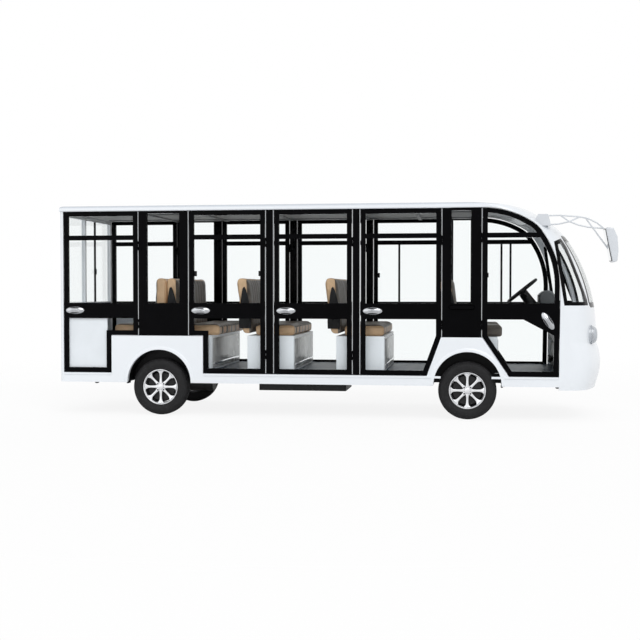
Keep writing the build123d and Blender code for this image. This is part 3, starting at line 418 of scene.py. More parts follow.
def cleanCopy(node):
    # the CAD node's triangles with their corners joined
    bm = bmesh.new()
    bm.from_mesh(nodes[node].data)
    bmesh.ops.remove_doubles(bm, verts=bm.verts, dist=sameSpot)
    return bm


def smoothCopy(node, finish, body, angle=28, bevel=0.0):
    # the CAD node with smooth shading over its curved faces
    bm = cleanCopy(node)
    bmesh.ops.dissolve_degenerate(bm, edges=bm.edges, dist=sameSpot / 2)
    piece = shadePiece(node + "_surface", bm, finish, body, angle)
    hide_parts(node)
    if bevel:
        rounding = piece.modifiers.new("soft edges", "BEVEL")
        rounding.width = bevel
        rounding.segments = 2
        rounding.limit_method = "ANGLE"
        rounding.angle_limit = math.radians(50)


def looseShapes(node):
    # the node's separate solids, each as its own bmesh, from the rear forwards
    whole = cleanCopy(node)
    whole.verts.ensure_lookup_table()
    group = {}
    count = 0
    for first in whole.verts:
        if first.index in group:
            continue
        waiting = [first]
        group[first.index] = count
        while waiting:
            vertex = waiting.pop()
            for edge in vertex.link_edges:
                other = edge.other_vert(vertex)
                if other.index not in group:
                    group[other.index] = count
                    waiting.append(other)
        count += 1
    shapes = []
    for number in range(count):
        shape = whole.copy()
        shape.verts.ensure_lookup_table()
        bmesh.ops.delete(shape, geom=[v for v in shape.verts if group[v.index] != number], context="VERTS")
        shapes.append(shape)
    whole.free()
    return sorted(shapes, key=lambda s: sum(v.co.x for v in s.verts) / len(s.verts))


def extent(bm):
    low = Vector([min(v.co[i] for v in bm.verts) for i in range(3)])
    high = Vector([max(v.co[i] for v in bm.verts) for i in range(3)])
    return low, high


# CAD nodes: painted, plastic and metal parts, each with its sharp angle and rounding where it differs

for node in ("nose_body", "rear_body", "side_skirts"):
    smoothCopy(node, bodyWhite, "body")
smoothCopy("roof", roofWhite, "body")
smoothCopy("side_frames", frameBlack, "body", bevel=0.0015)
smoothCopy("windscreen", screenGlass, "body")
smoothCopy("fixed_glass", fixedGlass, "body")
smoothCopy("headlights", lampLens, "body", angle=50)
smoothCopy("tail_lights", tailLens, "body", bevel=0.003)
smoothCopy("mirror_arms", shadedMirrorWhite, "body", angle=50)
smoothCopy("mirror_heads", shadedMirrorWhite, "body", angle=40)
smoothCopy("dashboard", greyPlastic, "body", bevel=0.006)
smoothCopy("steering_wheel", blackPlastic, "steering_wheel", angle=40)
smoothCopy("steering_column", blackPlastic, "body")
smoothCopy("headliner", liningGrey, "body")
smoothCopy("floor", floorVinyl, "body")
smoothCopy("wheel_houses", blackPlastic, "body")
smoothCopy("seat_bases", baseWhite, "body", bevel=0.004)
for node in ("chassis_rails", "cross_members", "battery_box", "leaf_springs"):
    smoothCopy(node, chassisBlack, "body", bevel=0.002)
for node in ("rear_axle", "front_axle", "tow_eyes"):
    smoothCopy(node, castGrey, "body")
for side in sides:
    smoothCopy(f"knuckle_{side}", castGrey, f"knuckle_{side}")
    for door in doorNames:
        smoothCopy(f"{door}_{side}", frameBlack, f"{door}_{side}", bevel=0.0015)
        smoothCopy(f"{door}_glass_{side}", clearGlass, f"{door}_{side}")
smoothCopy("tie_rod", castGrey, "tie_rod")
print("CAD surfaces finished")


# Wheels: tyres with tread, machined alloy rims

tyre = {
    "radius": 0.2805, "bead": 0.1655, "flange": 0.184, "halfWidth": 0.0825, "steps": 96,
    "grooveDepth": 0.0065, "grooveHalf": 0.0042, "grooveSlope": 0.0008, "grooves": [0.0, 0.030], "crown": 0.72,
    "lugEvery": 3, "lugDepth": 0.0045, "lugEdge": 0.0012, "lugFromRadius": 0.2715, "lugFromMiddle": 0.036,
    "wall": [(0.205, 0.0790), (0.207, 0.0802), (0.213, 0.0808), (0.2225, 0.0825), (0.236, 0.0822),
             (0.248, 0.0795), (0.2575, 0.0745), (0.2585, 0.0725), (0.2665, 0.0668), (0.2725, 0.0605),
             (0.2765, 0.0530)],
}


def tyreOutline():
    # radius and offset from the middle of the tread, from the outer bead round to the middle and back
    bead, flange = tyre["bead"], tyre["flange"]
    depth, half, slope = tyre["grooveDepth"], tyre["grooveHalf"], tyre["grooveSlope"]
    outline = [(bead, 0.050), (bead + 0.006, 0.061), (flange, 0.0685), (flange + 0.004, 0.0745),
               (flange + 0.010, 0.0752)] + tyre["wall"]
    for middle in reversed(tyre["grooves"]):
        rise = tyre["radius"] - tyre["crown"] * middle ** 2
        outline += [(rise, middle + half + slope), (rise - depth, middle + half)]
        if middle:
            outline += [(rise - depth, middle - half), (rise, middle - half - slope)]
    return outline + [(r, -w) for r, w in reversed(outline)]


def makeTyre(name, centre, body):
    bm = bmesh.new()
    addRevolve(bm, centre, tyreOutline(), tyre["steps"])
    bmesh.ops.remove_doubles(bm, verts=bm.verts, dist=sameSpot)
    # every third shoulder face is a slot between the tread's side lugs
    cuts = []
    for face in bm.faces:
        middle = face.calc_center_median() - centre
        step = round(math.degrees(math.atan2(middle.z, middle.x)) / (360 / tyre["steps"]) - 0.5) % tyre["steps"]
        shift = 0 if middle.y > 0 else 1
        onShoulder = math.hypot(middle.x, middle.z) > tyre["lugFromRadius"] and abs(middle.y) > tyre["lugFromMiddle"]
        if onShoulder and (step + shift) % tyre["lugEvery"] == 0:
            cuts.append(face)
    bmesh.ops.inset_individual(bm, faces=cuts, thickness=tyre["lugEdge"], depth=0.0)
    for face in cuts:
        middle = face.calc_center_median() - centre
        inward = Vector((-middle.x, 0, -middle.z)).normalized() * tyre["lugDepth"]
        bmesh.ops.translate(bm, vec=inward, verts=list(face.verts))
    piece = finishPiece(name + "_tread", bm, rubberGrey, body, angle=30)
    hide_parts(name)


rim = {
    "lip": [(0.178, 0.0635), (0.178, 0.055), (0.165, 0.053), (0.165, -0.053), (0.178, -0.055), (0.178, -0.064),
            (0.158, -0.064), (0.158, 0.046), (0.1605, 0.054), (0.166, 0.059), (0.170, 0.0635)],
    "hub": [(0.0, 0.049), (0.052, 0.049), (0.056, 0.046), (0.056, 0.020), (0.0, 0.020)],
    "cap": [(0.0, 0.0620), (0.022, 0.0615), (0.0275, 0.0595), (0.029, 0.056), (0.029, 0.048), (0.0, 0.048)],
    "drum": [(0.0, 0.014), (0.140, 0.014), (0.152, 0.006), (0.152, -0.004), (0.0, -0.004)],
    "spokes": 8, "spokeBack": 0.031, "spokeBevel": 0.0022,
    "spokeRows": [(0.030, 0.0165, 0.052), (0.046, 0.0140, 0.0530), (0.062, 0.0118, 0.0525),
                  (0.082, 0.0105, 0.0515), (0.104, 0.0105, 0.0515), (0.124, 0.0118, 0.0525),
                  (0.137, 0.0150, 0.0535), (0.147, 0.0215, 0.0545), (0.154, 0.0300, 0.0550),
                  (0.1600, 0.0360, 0.0550)],  # radius, half width and face of each section
    "lugs": 4, "lugCircle": 0.0425, "lugRadius": 0.0085, "lugFoot": 0.044, "lugHeight": 0.054, "lugTurn": 45,
}


def makeRim(name, centre, sign, body):
    # lip and barrel, eight spokes that widen at the lip, hub, cap and lugs, with a dark drum behind
    bm = bmesh.new()
    for part, steps in (("lip", tyre["steps"]), ("hub", 48), ("cap", 48)):
        addRevolve(bm, centre, [(r, sign * w) for r, w in rim[part]], steps)
    back = sign * rim["spokeBack"]
    for number in range(rim["spokes"]):
        turn = Matrix.Rotation(math.tau * number / rim["spokes"], 3, "Y")
        rows = [[bm.verts.new(centre + turn @ Vector((across * half, depth, radius)))
                 for across, depth in ((-1, sign * face), (1, sign * face), (1, back), (-1, back))]
                for radius, half, face in rim["spokeRows"]]
        for near, far in zip(rows, rows[1:]):
            for corner in range(4):
                after = (corner + 1) % 4
                bm.faces.new((near[corner], near[after], far[after], far[corner]))
        bm.faces.new(rows[0])
        bm.faces.new(rows[-1])
        fronts = [bm.edges.get((near[i], far[i])) for near, far in zip(rows, rows[1:]) for i in (0, 1)]
        soften(bm, fronts, rim["spokeBevel"], 2)
    bmesh.ops.remove_doubles(bm, verts=bm.verts, dist=sameSpot)
    piece = finishPiece(name + "_alloy", bm, alloyBright, body, angle=32)
    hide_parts(name)
    bm = bmesh.new()
    addRevolve(bm, centre, [(r, sign * w) for r, w in rim["drum"]], 48)
    for number in range(rim["lugs"]):
        angle = math.radians(rim["lugTurn"] + 360 / rim["lugs"] * number)
        foot = centre + Vector((math.cos(angle), 0, math.sin(angle))) * rim["lugCircle"]
        addTube(bm, foot + Vector((0, sign * rim["lugFoot"], 0)), foot + Vector((0, sign * rim["lugHeight"], 0)),
                rim["lugRadius"], 6)
    bmesh.ops.remove_doubles(bm, verts=bm.verts, dist=sameSpot)
    finishPiece(name + "_drum", bm, drumBlack, body, angle=32)


for end in ("rear", "front"):
    for side, sign in sides.items():
        low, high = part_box(f"tyre_{end}_{side}")
        makeTyre(f"tyre_{end}_{side}", (low + high) / 2, f"wheel_{end}_{side}")
        makeRim(f"rim_{end}_{side}", (low + high) / 2, sign, f"wheel_{end}_{side}")
print("wheels finished")


# Seats: padded cushions and backs, filled by cloth simulation

padding = {
    "inset": 0.007, "voxel": 0.014, "cap": 0.016, "frames": 18, "pressure": 3.0, "quality": 4, "mass": 0.3,
    "stiffness": 12, "bending": 0.6, "fill": 0.75, "footLift": 0.0005, "sideSpill": 0.004,
    "seams": [0.125, 0.23, 0.335, 0.44], "frontSeams": [0.21, 0.49], "channelDepth": 0.007, "channelWidth": 0.009,
    "pipingIn": 0.028, "pipingReach": 0.02, "pipingDepth": 0.004, "pipingWidth": 0.006,
    "backThickness": 0.132, "backSeam": 0.03, "cushionSeam": 0.1, "cushionLean": -1.5,
}


def startPad(name, shape, finish, seams):
    # a slightly smaller copy of the CAD solid, evenly remeshed
    low, high = extent(shape)
    middle, size = (low + high) / 2, high - low
    for vertex in shape.verts:
        for axis in range(3):
            share = (size[axis] - 2 * padding["inset"]) / size[axis]
            vertex.co[axis] = middle[axis] + (vertex.co[axis] - middle[axis]) * share
    mesh = bpy.data.meshes.new(name)
    shape.to_mesh(mesh)
    pad = bpy.data.objects.new(name, mesh)
    scene.collection.objects.link(pad)
    even = pad.modifiers.new("even", "REMESH")
    even.mode = "VOXEL"
    even.voxel_size = padding["voxel"]
    pad.data = currentMesh(pad)
    pad.modifiers.clear()
    fill = pad.modifiers.new("fill", "CLOTH")
    fill.settings.quality = padding["quality"]
    fill.settings.mass = padding["mass"]
    fill.settings.use_pressure = True
    fill.settings.uniform_pressure_force = padding["pressure"]
    fill.settings.tension_stiffness = padding["stiffness"]
    fill.settings.compression_stiffness = padding["stiffness"]
    fill.settings.bending_stiffness = padding["bending"]
    fill.settings.effector_weights.gravity = 0
    fill.collision_settings.use_collision = False
    fill.point_cache.frame_end = padding["frames"]
    return {"object": pad, "low": low, "high": high, "rest": [v.co.copy() for v in pad.data.vertices],
            "finish": finish, "seams": seams}


def currentMesh(obj):
    bpy.context.view_layer.update()
    return bpy.data.meshes.new_from_object(obj.evaluated_get(bpy.context.evaluated_depsgraph_get()))


def groove(away, depth, width):
    return depth * math.exp(-(away / width) ** 2)


def endPad(pad, nodeName):
    # swelling is held to the cap, the foot stays flat, then the sewn channels are drawn in
    obj = pad["object"]
    swollen = currentMesh(obj)
    for vertex, rest in zip(swollen.vertices, pad["rest"]):
        moved = vertex.co - rest
        if moved.length > padding["cap"]:
            moved.length = padding["cap"]
        vertex.co = rest + moved
    obj.modifiers.clear()
    obj.data = swollen
    finer = obj.modifiers.new("finer", "SUBSURF")
    finer.levels = finer.render_levels = 1
    mesh = currentMesh(obj)
    name = obj.name
    bpy.data.objects.remove(obj)
    low, high = pad["low"], pad["high"]
    normals = [v.normal.copy() for v in mesh.vertices]
    for vertex, normal in zip(mesh.vertices, normals):
        for seam in pad["seams"]:
            away = abs(abs(vertex.co.y) - seam)
            if away < 3 * padding["channelWidth"]:
                vertex.co -= normal * groove(away, padding["channelDepth"], padding["channelWidth"])
        away = abs(min(abs(vertex.co.y - low.y), abs(vertex.co.y - high.y)) - padding["pipingIn"])
        if away < padding["pipingReach"]:
            vertex.co -= normal * groove(away, padding["pipingDepth"], padding["pipingWidth"])
        vertex.co.z = max(vertex.co.z, low.z + padding["footLift"])
        vertex.co.y = min(max(vertex.co.y, low.y - padding["sideSpill"]), high.y + padding["sideSpill"])
    bm = bmesh.new()
    bm.from_mesh(mesh)
    piece = shadePiece(name, bm, pad["finish"], "body", angle=60)
    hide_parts(nodeName)


def backSplit(low, high, facing):
    # the seam between the tan and the taupe half follows the lean of the back
    lean = -facing * (high.x - low.x - padding["backThickness"]) / (high.z - low.z)
    return (low.x + high.x) / 2 + facing * padding["backSeam"], (low.z + high.z) / 2, lean, facing


pads, backBoxes = [], []
benchNames = ["rearBench", "secondBench", "thirdBench", "fourthBench"]
stripedLeather = leatherFinish("striped leatherette")
for name, shape in zip(benchNames, looseShapes("bench_cushions")):
    pads.append((startPad(f"{name}Cushion", shape, stripedLeather, padding["seams"]), "bench_cushions"))
for name, shape in zip(benchNames, looseShapes("bench_backs")):
    low, high = extent(shape)
    backBoxes.append((low, high))
    finish = leatherFinish(f"{name} leatherette", backSplit(low, high, -1 if name == "rearBench" else 1))
    pads.append((startPad(f"{name}Back", shape, finish, padding["seams"]), "bench_backs"))
for shape in looseShapes("front_seats"):
    low, high = extent(shape)
    sideName = "left" if low.y + high.y > 0 else "right"
    if high.z - low.z > 0.3:
        part, split = "Back", backSplit(low, high, 1)
        backBoxes.append((low, high))
    else:
        part = "Cushion"
        split = ((low.x + high.x) / 2 - padding["cushionSeam"], (low.z + high.z) / 2, padding["cushionLean"], 1)
    finish = leatherFinish(f"{sideName} front {part.lower()} leatherette", split)
    pads.append((startPad(f"{sideName}Front{part}", shape, finish, padding["frontSeams"]), "front_seats"))
for number in range(1, padding["frames"] + 1):
    scene.frame_set(number)
for pad, nodeName in pads:
    endPad(pad, nodeName)
scene.frame_set(1)
print("seats padded")

# black plastic side plates on the backs, wide at the foot and drawn in to a rounded top
sidePlate = {
    "outline": [(-0.058, 0.868), (0.060, 0.868), (0.066, 0.940), (0.058, 1.040), (0.046, 1.120), (0.030, 1.190),
                (0.012, 1.250), (-0.006, 1.283), (-0.022, 1.268), (-0.034, 1.205), (-0.043, 1.130),
                (-0.053, 1.040), (-0.061, 0.945)],
    "thickness": 0.014, "sunk": 0.006, "bevel": 0.006,
    "forward": [-0.006, 0.004, 0.004, 0.004, 0.004],  # for every back but the rear bench's, which has none
}
bm = bmesh.new()
for (low, high), forward in zip(backBoxes[1:], sidePlate["forward"]):
    middleX = (low.x + high.x) / 2 + forward
    for edgeY, outward in ((low.y, -1), (high.y, 1)):
        inY = edgeY - outward * sidePlate["sunk"]
        outY = inY + outward * sidePlate["thickness"]
        outer = addPlate(bm, *[[(middleX + x, y, z) for x, z in sidePlate["outline"]] for y in (inY, outY)])[1]
        soften(bm, ringEdges(bm, outer), sidePlate["bevel"], 3)
finishPiece("seatSidePlates", bm, blackPlastic, "body", angle=40)

# grey front panels and chrome kick strips on the seat bases
baseFront = {"thickness": 0.006, "sunk": 0.001, "margin": 0.04, "foot": 0.02, "head": 0.03, "bevel": 0.0025,
             "stripMargin": 0.06, "stripRise": 0.055, "stripHeight": 0.018, "stripBevel": 0.003}
panels, strips = bmesh.new(), bmesh.new()
for index, shape in enumerate(looseShapes("seat_bases")):
    low, high = extent(shape)
    shape.free()
    if high.y - low.y < 0.5:
        continue
    facing = -1 if index == 0 else 1
    faceX = high.x if facing > 0 else low.x
    outX = faceX + facing * baseFront["thickness"]
    xs = sorted((faceX - facing * baseFront["sunk"], outX))
    addBlock(panels, (xs[0], low.y + baseFront["margin"], low.z + baseFront["foot"]),
             (xs[1], high.y - baseFront["margin"], high.z - baseFront["head"]), baseFront["bevel"])
    xs = sorted((faceX, outX + facing * baseFront["thickness"]))
    stripZ = low.z + baseFront["stripRise"]
    addBlock(strips, (xs[0], low.y + baseFront["stripMargin"], stripZ),
             (xs[1], high.y - baseFront["stripMargin"], stripZ + baseFront["stripHeight"]),
             baseFront["stripBevel"])
finishPiece("baseFrontPanels", panels, panelGrey, "body")
finishPiece("kickStrips", strips, chrome, "body")
print("seat trim finished")


# Door handles: chrome pods with a grip, and dark eggs above and below it as painted shade in the finger recesses

handle = {"podFrom": 0.7712, "centreY": 0.7495, "half": (0.0985, 0.030, 0.0405), "gripHalf": (0.074, 0.036, 0.0135),
          "recessShadeHalf": (0.062, 0.0312, 0.0095), "recessShadeRise": 0.0235, "frontTilt": 56}


def outerHalf(bm, centre, sign):
    # what stands out of the door, closed over the cut
    bmesh.ops.bisect_plane(bm, geom=bm.verts[:] + bm.edges[:] + bm.faces[:], plane_co=centre,
                           plane_no=(0, -sign, 0), clear_outer=True)
    bmesh.ops.holes_fill(bm, edges=[e for e in bm.edges if e.is_boundary])


for side, sign in sides.items():
    for door in doorNames:
        body = f"{door}_{side}"
        pod = [v.co for v in nodes[body].data.vertices if abs(v.co.y) > handle["podFrom"]]
        centre = Vector(((min(p.x for p in pod) + max(p.x for p in pod)) / 2, sign * handle["centreY"],
                         (min(p.z for p in pod) + max(p.z for p in pod)) / 2))
        tilt = math.radians(handle["frontTilt"]) if door == "front_door" else 0.0
        turn = Euler((0, tilt, 0)).to_quaternion()
        bm = bmesh.new()
        addEgg(bm, centre, handle["half"], turn)
        addEgg(bm, centre, handle["gripHalf"], turn)
        outerHalf(bm, centre, sign)
        finishPiece(f"{body}_handle", bm, handleChrome, body, angle=50)
        bm = bmesh.new()
        # painted shade: two dark eggs where the finger recesses fall in shadow
        for rise in (-handle["recessShadeRise"], handle["recessShadeRise"]):
            addEgg(bm, centre + turn @ Vector((0, 0, rise)), handle["recessShadeHalf"], turn, 24)
        outerHalf(bm, centre, sign)
        finishPiece(f"{body}_handleRecessShade", bm, recessShade, body, angle=50)
print("handles finished")


# Trim outside: pale edge strips, rocker strips, gutters, arch lips and flaps

strip = {"panels": [(819, 1333), (3825, 4206)], "panelLow": 0.80, "posts": [(2109, 2188), (2964, 3038)],
         "postLow": 0.43, "high": 2.03, "sunk": 0.002, "width": 0.004, "across": (0.7495, 0.7516), "bevel": 0.0006}
rocker = {"runs": [(48, 534), (1484, 3817), (4300, 4925)], "across": (0.748, 0.756), "heights": (0.399, 0.421),
          "bevel": 0.003}
gutter = {"run": (8, 4300), "across": (0.7535, 0.759), "heights": (2.037, 2.044), "bevel": 0.002}
for side, sign in sides.items():
    bm = bmesh.new()
    for runs, lowest in ((strip["panels"], strip["panelLow"]), (strip["posts"], strip["postLow"])):
        for first, last in runs:
            for edge, inward in ((first, 1), (last, -1)):
                along = (station(edge) - inward * strip["sunk"], station(edge) + inward * strip["width"])
                addSideBlock(bm, sign, along, strip["across"], (lowest, strip["high"]), strip["bevel"], 1)
    finishPiece(f"edgeStrips_{side}", bm, trimPale, "body")
    bm = bmesh.new()
    for first, last in rocker["runs"]:
        addSideBlock(bm, sign, (station(first), station(last)), rocker["across"], rocker["heights"],
                     rocker["bevel"])
    finishPiece(f"rockers_{side}", bm, bodyWhite, "body")
    bm = bmesh.new()
    # painted shade: the gutter strips take the greyed white, a shade line along the drip rail
    addSideBlock(bm, sign, map(station, gutter["run"]), gutter["across"], gutter["heights"], gutter["bevel"])
    finishPiece(f"gutter_{side}", bm, shadedMirrorWhite, "body")

arch = {"radius": 0.325, "centreZ": 0.3325, "axles": (-1.707, 1.336), "steps": 64,
        "lip": [(-0.001, 0.7445), (-0.001, 0.7575), (0.010, 0.7585), (0.026, 0.7545), (0.034, 0.7500),
                (0.030, 0.7445)],
        "flaps": (-2.034, 1.663), "flapHalf": 0.009, "flapAcross": (0.66, 0.748), "flapHeights": (0.316, 0.336),
        "flapBevel": 0.003}
for side, sign in sides.items():
    bm = bmesh.new()
    for axleX in arch["axles"]:
        made, joints = addRing(bm, [(axleX + arch["radius"] + r, sign * w, arch["centreZ"])
                                    for r, w in arch["lip"]])
        bm.faces.new(made)
        turned = bmesh.ops.spin(bm, geom=made + joints, cent=(axleX, 0, arch["centreZ"]), axis=(0, 1, 0),
                                angle=-math.pi, steps=arch["steps"])
        last = [v for v in turned["geom_last"] if isinstance(v, bmesh.types.BMVert)]
        bmesh.ops.contextual_create(bm, geom=last)
    finishPiece(f"archLips_{side}", bm, bodyWhite, "body", angle=40)
    bm = bmesh.new()
    for middleX in arch["flaps"]:
        addSideBlock(bm, sign, (middleX - arch["flapHalf"], middleX + arch["flapHalf"]), arch["flapAcross"],
                     arch["flapHeights"], arch["flapBevel"])
    finishPiece(f"archFlaps_{side}", bm, blackPlastic, "body")
print("outside trim finished")

# sliding-pane bars and latches in the doors and the rear window
slider = {"bars": {"door_4_left": [3327], "front_door_left": [4437, 4534], "door_2_right": []},
          "latches": {"door_4_left": [3102], "front_door_left": [4288], "door_2_right": [1398, 2046]},
          "barHalf": 0.011, "barAcross": (0.718, 0.738), "barHeights": (1.119, 1.750), "barBevel": 0.003,
          "latchHalf": 0.012, "latchAcross": (0.704, 0.734), "latchZ": 1.412, "latchRise": 0.026,
          "latchBevel": 0.005, "knob": (0.706, 0.692), "knobRadius": 0.008,
          "rearBar": [(5, 0.24, 1.119), (24, 0.262, 1.992)], "rearLatch": [(24, 0.226, 1.42), (40, 0.240, 1.48)],
          "rearLatchBevel": 0.004}
for body, bars in slider["bars"].items():
    bm = bmesh.new()
    sign = sides[body.split("_")[-1]]
    for middleX in map(station, bars):
        addSideBlock(bm, sign, (middleX - slider["barHalf"], middleX + slider["barHalf"]), slider["barAcross"],
                     slider["barHeights"], slider["barBevel"])
    for middleX in map(station, slider["latches"][body]):
        addSideBlock(bm, sign, (middleX - slider["latchHalf"], middleX + slider["latchHalf"]),
                     slider["latchAcross"], (slider["latchZ"] - slider["latchRise"],
                                             slider["latchZ"] + slider["latchRise"]), slider["latchBevel"])
        start, end = [(middleX, sign * y, slider["latchZ"]) for y in slider["knob"]]
        addTube(bm, start, end, slider["knobRadius"])
    finishPiece(f"{body}_sliders", bm, blackPlastic, body)
bm = bmesh.new()
for corners, bevel in ((slider["rearBar"], slider["barBevel"]), (slider["rearLatch"], slider["rearLatchBevel"])):
    addBlock(bm, *[(station(fromRear), y, z) for fromRear, y, z in corners], bevel)
finishPiece("rearWindowSlider", bm, blackPlastic, "body")

# mirror glass on the rear face of the head, in a thin dark surround
mirror = {"middleY": -0.655, "halfWidth": 0.078, "line": [(5352, 1.818), (5381, 1.667), (5411, 1.527)],
          "glassBack": 0.0045, "surroundBack": 0.0025, "surround": 0.005, "thickness": 0.006}
for name, finish, slotName, grow, back in (
        ("mirrorGlass", mirrorGlass, "mirror_white", 0.0, mirror["glassBack"]),
        ("mirrorSurrounds", blackPlastic, "black_plastic", mirror["surround"], mirror["surroundBack"])):
    behind = [(station(fromRear) - back, height + reach)
              for (fromRear, height), reach in zip(mirror["line"], (grow, 0.0, -grow))]
    outline = behind + [(x + mirror["thickness"], z) for x, z in reversed(behind)]
    halfWidth = mirror["halfWidth"] + grow
    bm = bmesh.new()
    addPlate(bm, *[[(x, mirror["middleY"] + reach, z) for x, z in outline] for reach in (-halfWidth, halfWidth)])
    finishPiece(name, bm, finish, "body")

# chrome rings round the headlamps
lampRing = {"centre": (station(5256), 0.52, 0.82), "radius": 0.086, "thickness": 0.006, "steps": 48}
bm = bmesh.new()
for sign in sides.values():
    x, y, z = lampRing["centre"]
    centre = Vector((x, sign * y, z))
    ring = bmesh.ops.create_circle(bm, cap_ends=False, segments=12, radius=lampRing["thickness"])["verts"]
    bmesh.ops.rotate(bm, verts=ring, cent=(0, 0, 0), matrix=Matrix.Rotation(math.radians(90), 3, "X"))
    bmesh.ops.translate(bm, verts=ring, vec=centre + Vector((0, 0, lampRing["radius"])))
    joints = list({e for v in ring for e in v.link_edges})
    bmesh.ops.spin(bm, geom=ring + joints, cent=centre, axis=(1, 0, 0), angle=math.tau, steps=lampRing["steps"],
                   use_merge=True)
bmesh.ops.remove_doubles(bm, verts=bm.verts, dist=0.0001)
finishPiece("lampRings", bm, handleChrome, "body")
print("glass trim and mirrors finished")


# Interior: instruments, driver's controls, door panels, ceiling ribs and sill plates

cowl = {"side": [(4884, 1.100), (4812, 1.112), (4806, 1.160), (4818, 1.210), (4850, 1.236), (4905, 1.246),
                 (4945, 1.234), (4972, 1.190), (4985, 1.110)], "across": (0.20, 0.50), "bevel": 0.018,
        "dials": (0.29, 0.41), "dialDepth": (4818, 4804), "dialZ": 1.160, "dialRadius": 0.040}
bm = bmesh.new()
near, far = addPlate(bm, *[[(station(fromRear), y, z) for fromRear, z in cowl["side"]] for y in cowl["across"]])
soften(bm, ringEdges(bm, near) + ringEdges(bm, far), cowl["bevel"], 4)
finishPiece("instrumentCowl", bm, greyPlastic, "body", angle=40)
bm = bmesh.new()
for offset in cowl["dials"]:
    start, end = [(station(fromRear), offset, cowl["dialZ"]) for fromRear in cowl["dialDepth"]]
    addTube(bm, start, end, cowl["dialRadius"], 32)
finishPiece("instrumentDials", bm, blackPlastic, "body")

panel = {"footwell": [(4955, -0.60, 0.452), (4963, 0.60, 0.70)], "footwellBevel": 0.003,
         "doorRun": (90, 492), "doorAcross": (0.7275, 0.7315), "doorHeights": (0.470, 0.967), "doorBevel": 0.001}
bm = bmesh.new()
addBlock(bm, *[(station(fromRear), y, z) for fromRear, y, z in panel["footwell"]], panel["footwellBevel"])
finishPiece("footwellBoard", bm, blackPlastic, "body")
for side, sign in sides.items():
    bm = bmesh.new()
    addSideBlock(bm, sign, map(station, panel["doorRun"]), panel["doorAcross"], panel["doorHeights"],
                 panel["doorBevel"], 1)
    finishPiece(f"door_1_{side}_lowerPanel", bm, baseWhite, f"door_1_{side}")

control = {"columnY": 0.35, "shroud": [(4648, 1.219, 0.046), (4765, 1.065, 0.058)],
           "stalk": [(4700, 1.19, 0.008), (4655, 1.215, 0.005)], "stalkReach": 0.15,
           "pedals": [(0.42, 0.03), (0.28, 0.035)], "pedalArm": [(4985, 0.60), (4940, 0.52)],
           "pedalArmRadius": 0.009, "pedalPad": [(4912, 0.495), (4940, 0.565)], "pedalBevel": 0.006}
bm = bmesh.new()
(backX, backZ, backRadius), (frontX, frontZ, frontRadius) = control["shroud"]
addTube(bm, (station(backX), control["columnY"], backZ), (station(frontX), control["columnY"], frontZ), backRadius,
        32, frontRadius)
finishPiece("columnShroud", bm, blackPlastic, "body", angle=40)
bm = bmesh.new()
(footX, footZ, footRadius), (tipX, tipZ, tipRadius) = control["stalk"]
for reach in (-control["stalkReach"], control["stalkReach"]):
    addTube(bm, (station(footX), control["columnY"], footZ), (station(tipX), control["columnY"] + reach, tipZ),
            footRadius, 12, tipRadius)
for offset, halfWidth in control["pedals"]:
    start, end = [(station(fromRear), offset, z) for fromRear, z in control["pedalArm"]]
    addTube(bm, start, end, control["pedalArmRadius"], 12)
    (nearX, lowZ), (farX, highZ) = control["pedalPad"]
    addBlock(bm, (station(nearX), offset - halfWidth, lowZ), (station(farX), offset + halfWidth, highZ),
             control["pedalBevel"])
finishPiece("stalksAndPedals", bm, blackPlastic, "body")

rib = {"cross": (830, 1410, 2150, 3000, 3560, 4170), "crossHalf": 0.022, "reach": 0.70, "crossLow": 2.012,
       "long": (-0.42, 0.42), "longHalf": 0.012, "run": (120, 4200), "longLow": 2.015, "top": 2.0235}
bm = bmesh.new()
for middleX in map(station, rib["cross"]):
    addBlock(bm, (middleX - rib["crossHalf"], -rib["reach"], rib["crossLow"]),
             (middleX + rib["crossHalf"], rib["reach"], rib["top"]), 0.003)
for offset in rib["long"]:
    addBlock(bm, (station(rib["run"][0]), offset - rib["longHalf"], rib["longLow"]),
             (station(rib["run"][1]), offset + rib["longHalf"], rib["top"]), 0.002)
finishPiece("ceilingRibs", bm, greyPlastic, "body")

sill = {"runs": [(1500, 2094), (2204, 2950), (3052, 3690), (4330, 4900)], "across": (0.655, 0.709),
        "heights": (0.4495, 0.4525), "bevel": 0.001}
bm = bmesh.new()
for sign in sides.values():
    for first, last in sill["runs"]:
        addSideBlock(bm, sign, (station(first), station(last)), sill["across"], sill["heights"], sill["bevel"], 1)
finishPiece("sillPlates", bm, chrome, "body")
print("interior finished")


# Floor, light and camera

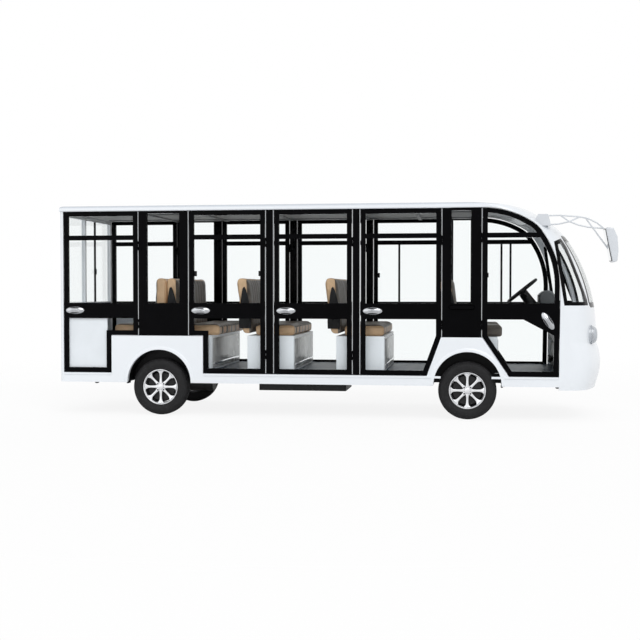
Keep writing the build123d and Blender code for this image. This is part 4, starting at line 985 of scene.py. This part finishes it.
studio = {"floorRadius": 11.0, "floorDrop": 0.001, "fade": (0.45, 0.95), "floorColour": (0.95, 0.95, 0.95, 1),
          "shown": 0.88, "worldLight": 0.66}
bm = bmesh.new()
bmesh.ops.create_circle(bm, cap_ends=True, segments=96, radius=studio["floorRadius"])
bmesh.ops.translate(bm, verts=bm.verts, vec=(0, 0, -studio["floorDrop"]))
mesh = bpy.data.meshes.new("studioFloor")
bm.to_mesh(mesh)
bm.free()
floorPiece = bpy.data.objects.new("studioFloor", mesh)
scene.collection.objects.link(floorPiece)
finish, tree, shader = newFinish("studio floor", {"Base Color": studio["floorColour"], "Roughness": 0.9,
                                                  "Specular IOR Level": 0.0})
mesh.materials.append(finish)
cameraRay = tree.nodes.new("ShaderNodeLightPath").outputs["Is Camera Ray"]
glow = tree.nodes.new("ShaderNodeEmission")
shown = mixShaders(tree, maths(tree, "MULTIPLY", cameraRay, studio["shown"]), shader, glow)
length = place(tree, "ShaderNodeVectorMath", objectPlace(tree), {"operation": "LENGTH"})
fade = mapped(tree, length.outputs["Value"], {"From Min": studio["floorRadius"] * studio["fade"][0],
                                              "From Max": studio["floorRadius"] * studio["fade"][1]})
faded = mixShaders(tree, fade, shown, tree.nodes.new("ShaderNodeBsdfTransparent"))
tree.links.new(faded.outputs[0], tree.nodes["Material Output"].inputs["Surface"])

world = bpy.data.worlds.new("studio")
scene.world = world
world.use_nodes = True
tree = world.node_tree
rays = tree.nodes.new("ShaderNodeLightPath").outputs
shownRays = maths(tree, "MAXIMUM", rays["Is Camera Ray"], rays["Is Transmission Ray"])
shownRays = maths(tree, "MAXIMUM", shownRays, rays["Is Glossy Ray"])
background = tree.nodes["Background"]
background.inputs["Color"].default_value = (1, 1, 1, 1)
tree.links.new(mapped(tree, shownRays, {"To Min": studio["worldLight"]}), background.inputs["Strength"])


def addSun(name, strength, softness, direction):
    lamp = bpy.data.lights.new(name, "SUN")
    lamp.energy = strength
    lamp.angle = math.radians(softness)
    holder = bpy.data.objects.new(name, lamp)
    holder.rotation_euler = Vector(direction).to_track_quat("-Z", "Y").to_euler()
    scene.collection.objects.link(holder)


addSun("keyLight", 1.15, 40, (-0.35, 0.75, -0.85))
addSun("fillLight", 0.35, 60, (0.6, 0.7, -0.25))

view = {"place": (1.3169, -11.0266, 1.2489), "yaw": -0.1359, "pitch": -0.0281, "focal": 1064.945, "frame": 640,
        "film": 36}
camera = bpy.data.cameras.new("camera")
camera.sensor_width = view["film"]
camera.lens = view["focal"] / view["frame"] * view["film"]
holder = bpy.data.objects.new("camera", camera)
holder.location = view["place"]
holder.rotation_euler = (math.pi / 2 + view["pitch"], 0, -view["yaw"])
scene.collection.objects.link(holder)
scene.camera = holder
scene.view_settings.view_transform = "Standard"
print("studio and camera set")
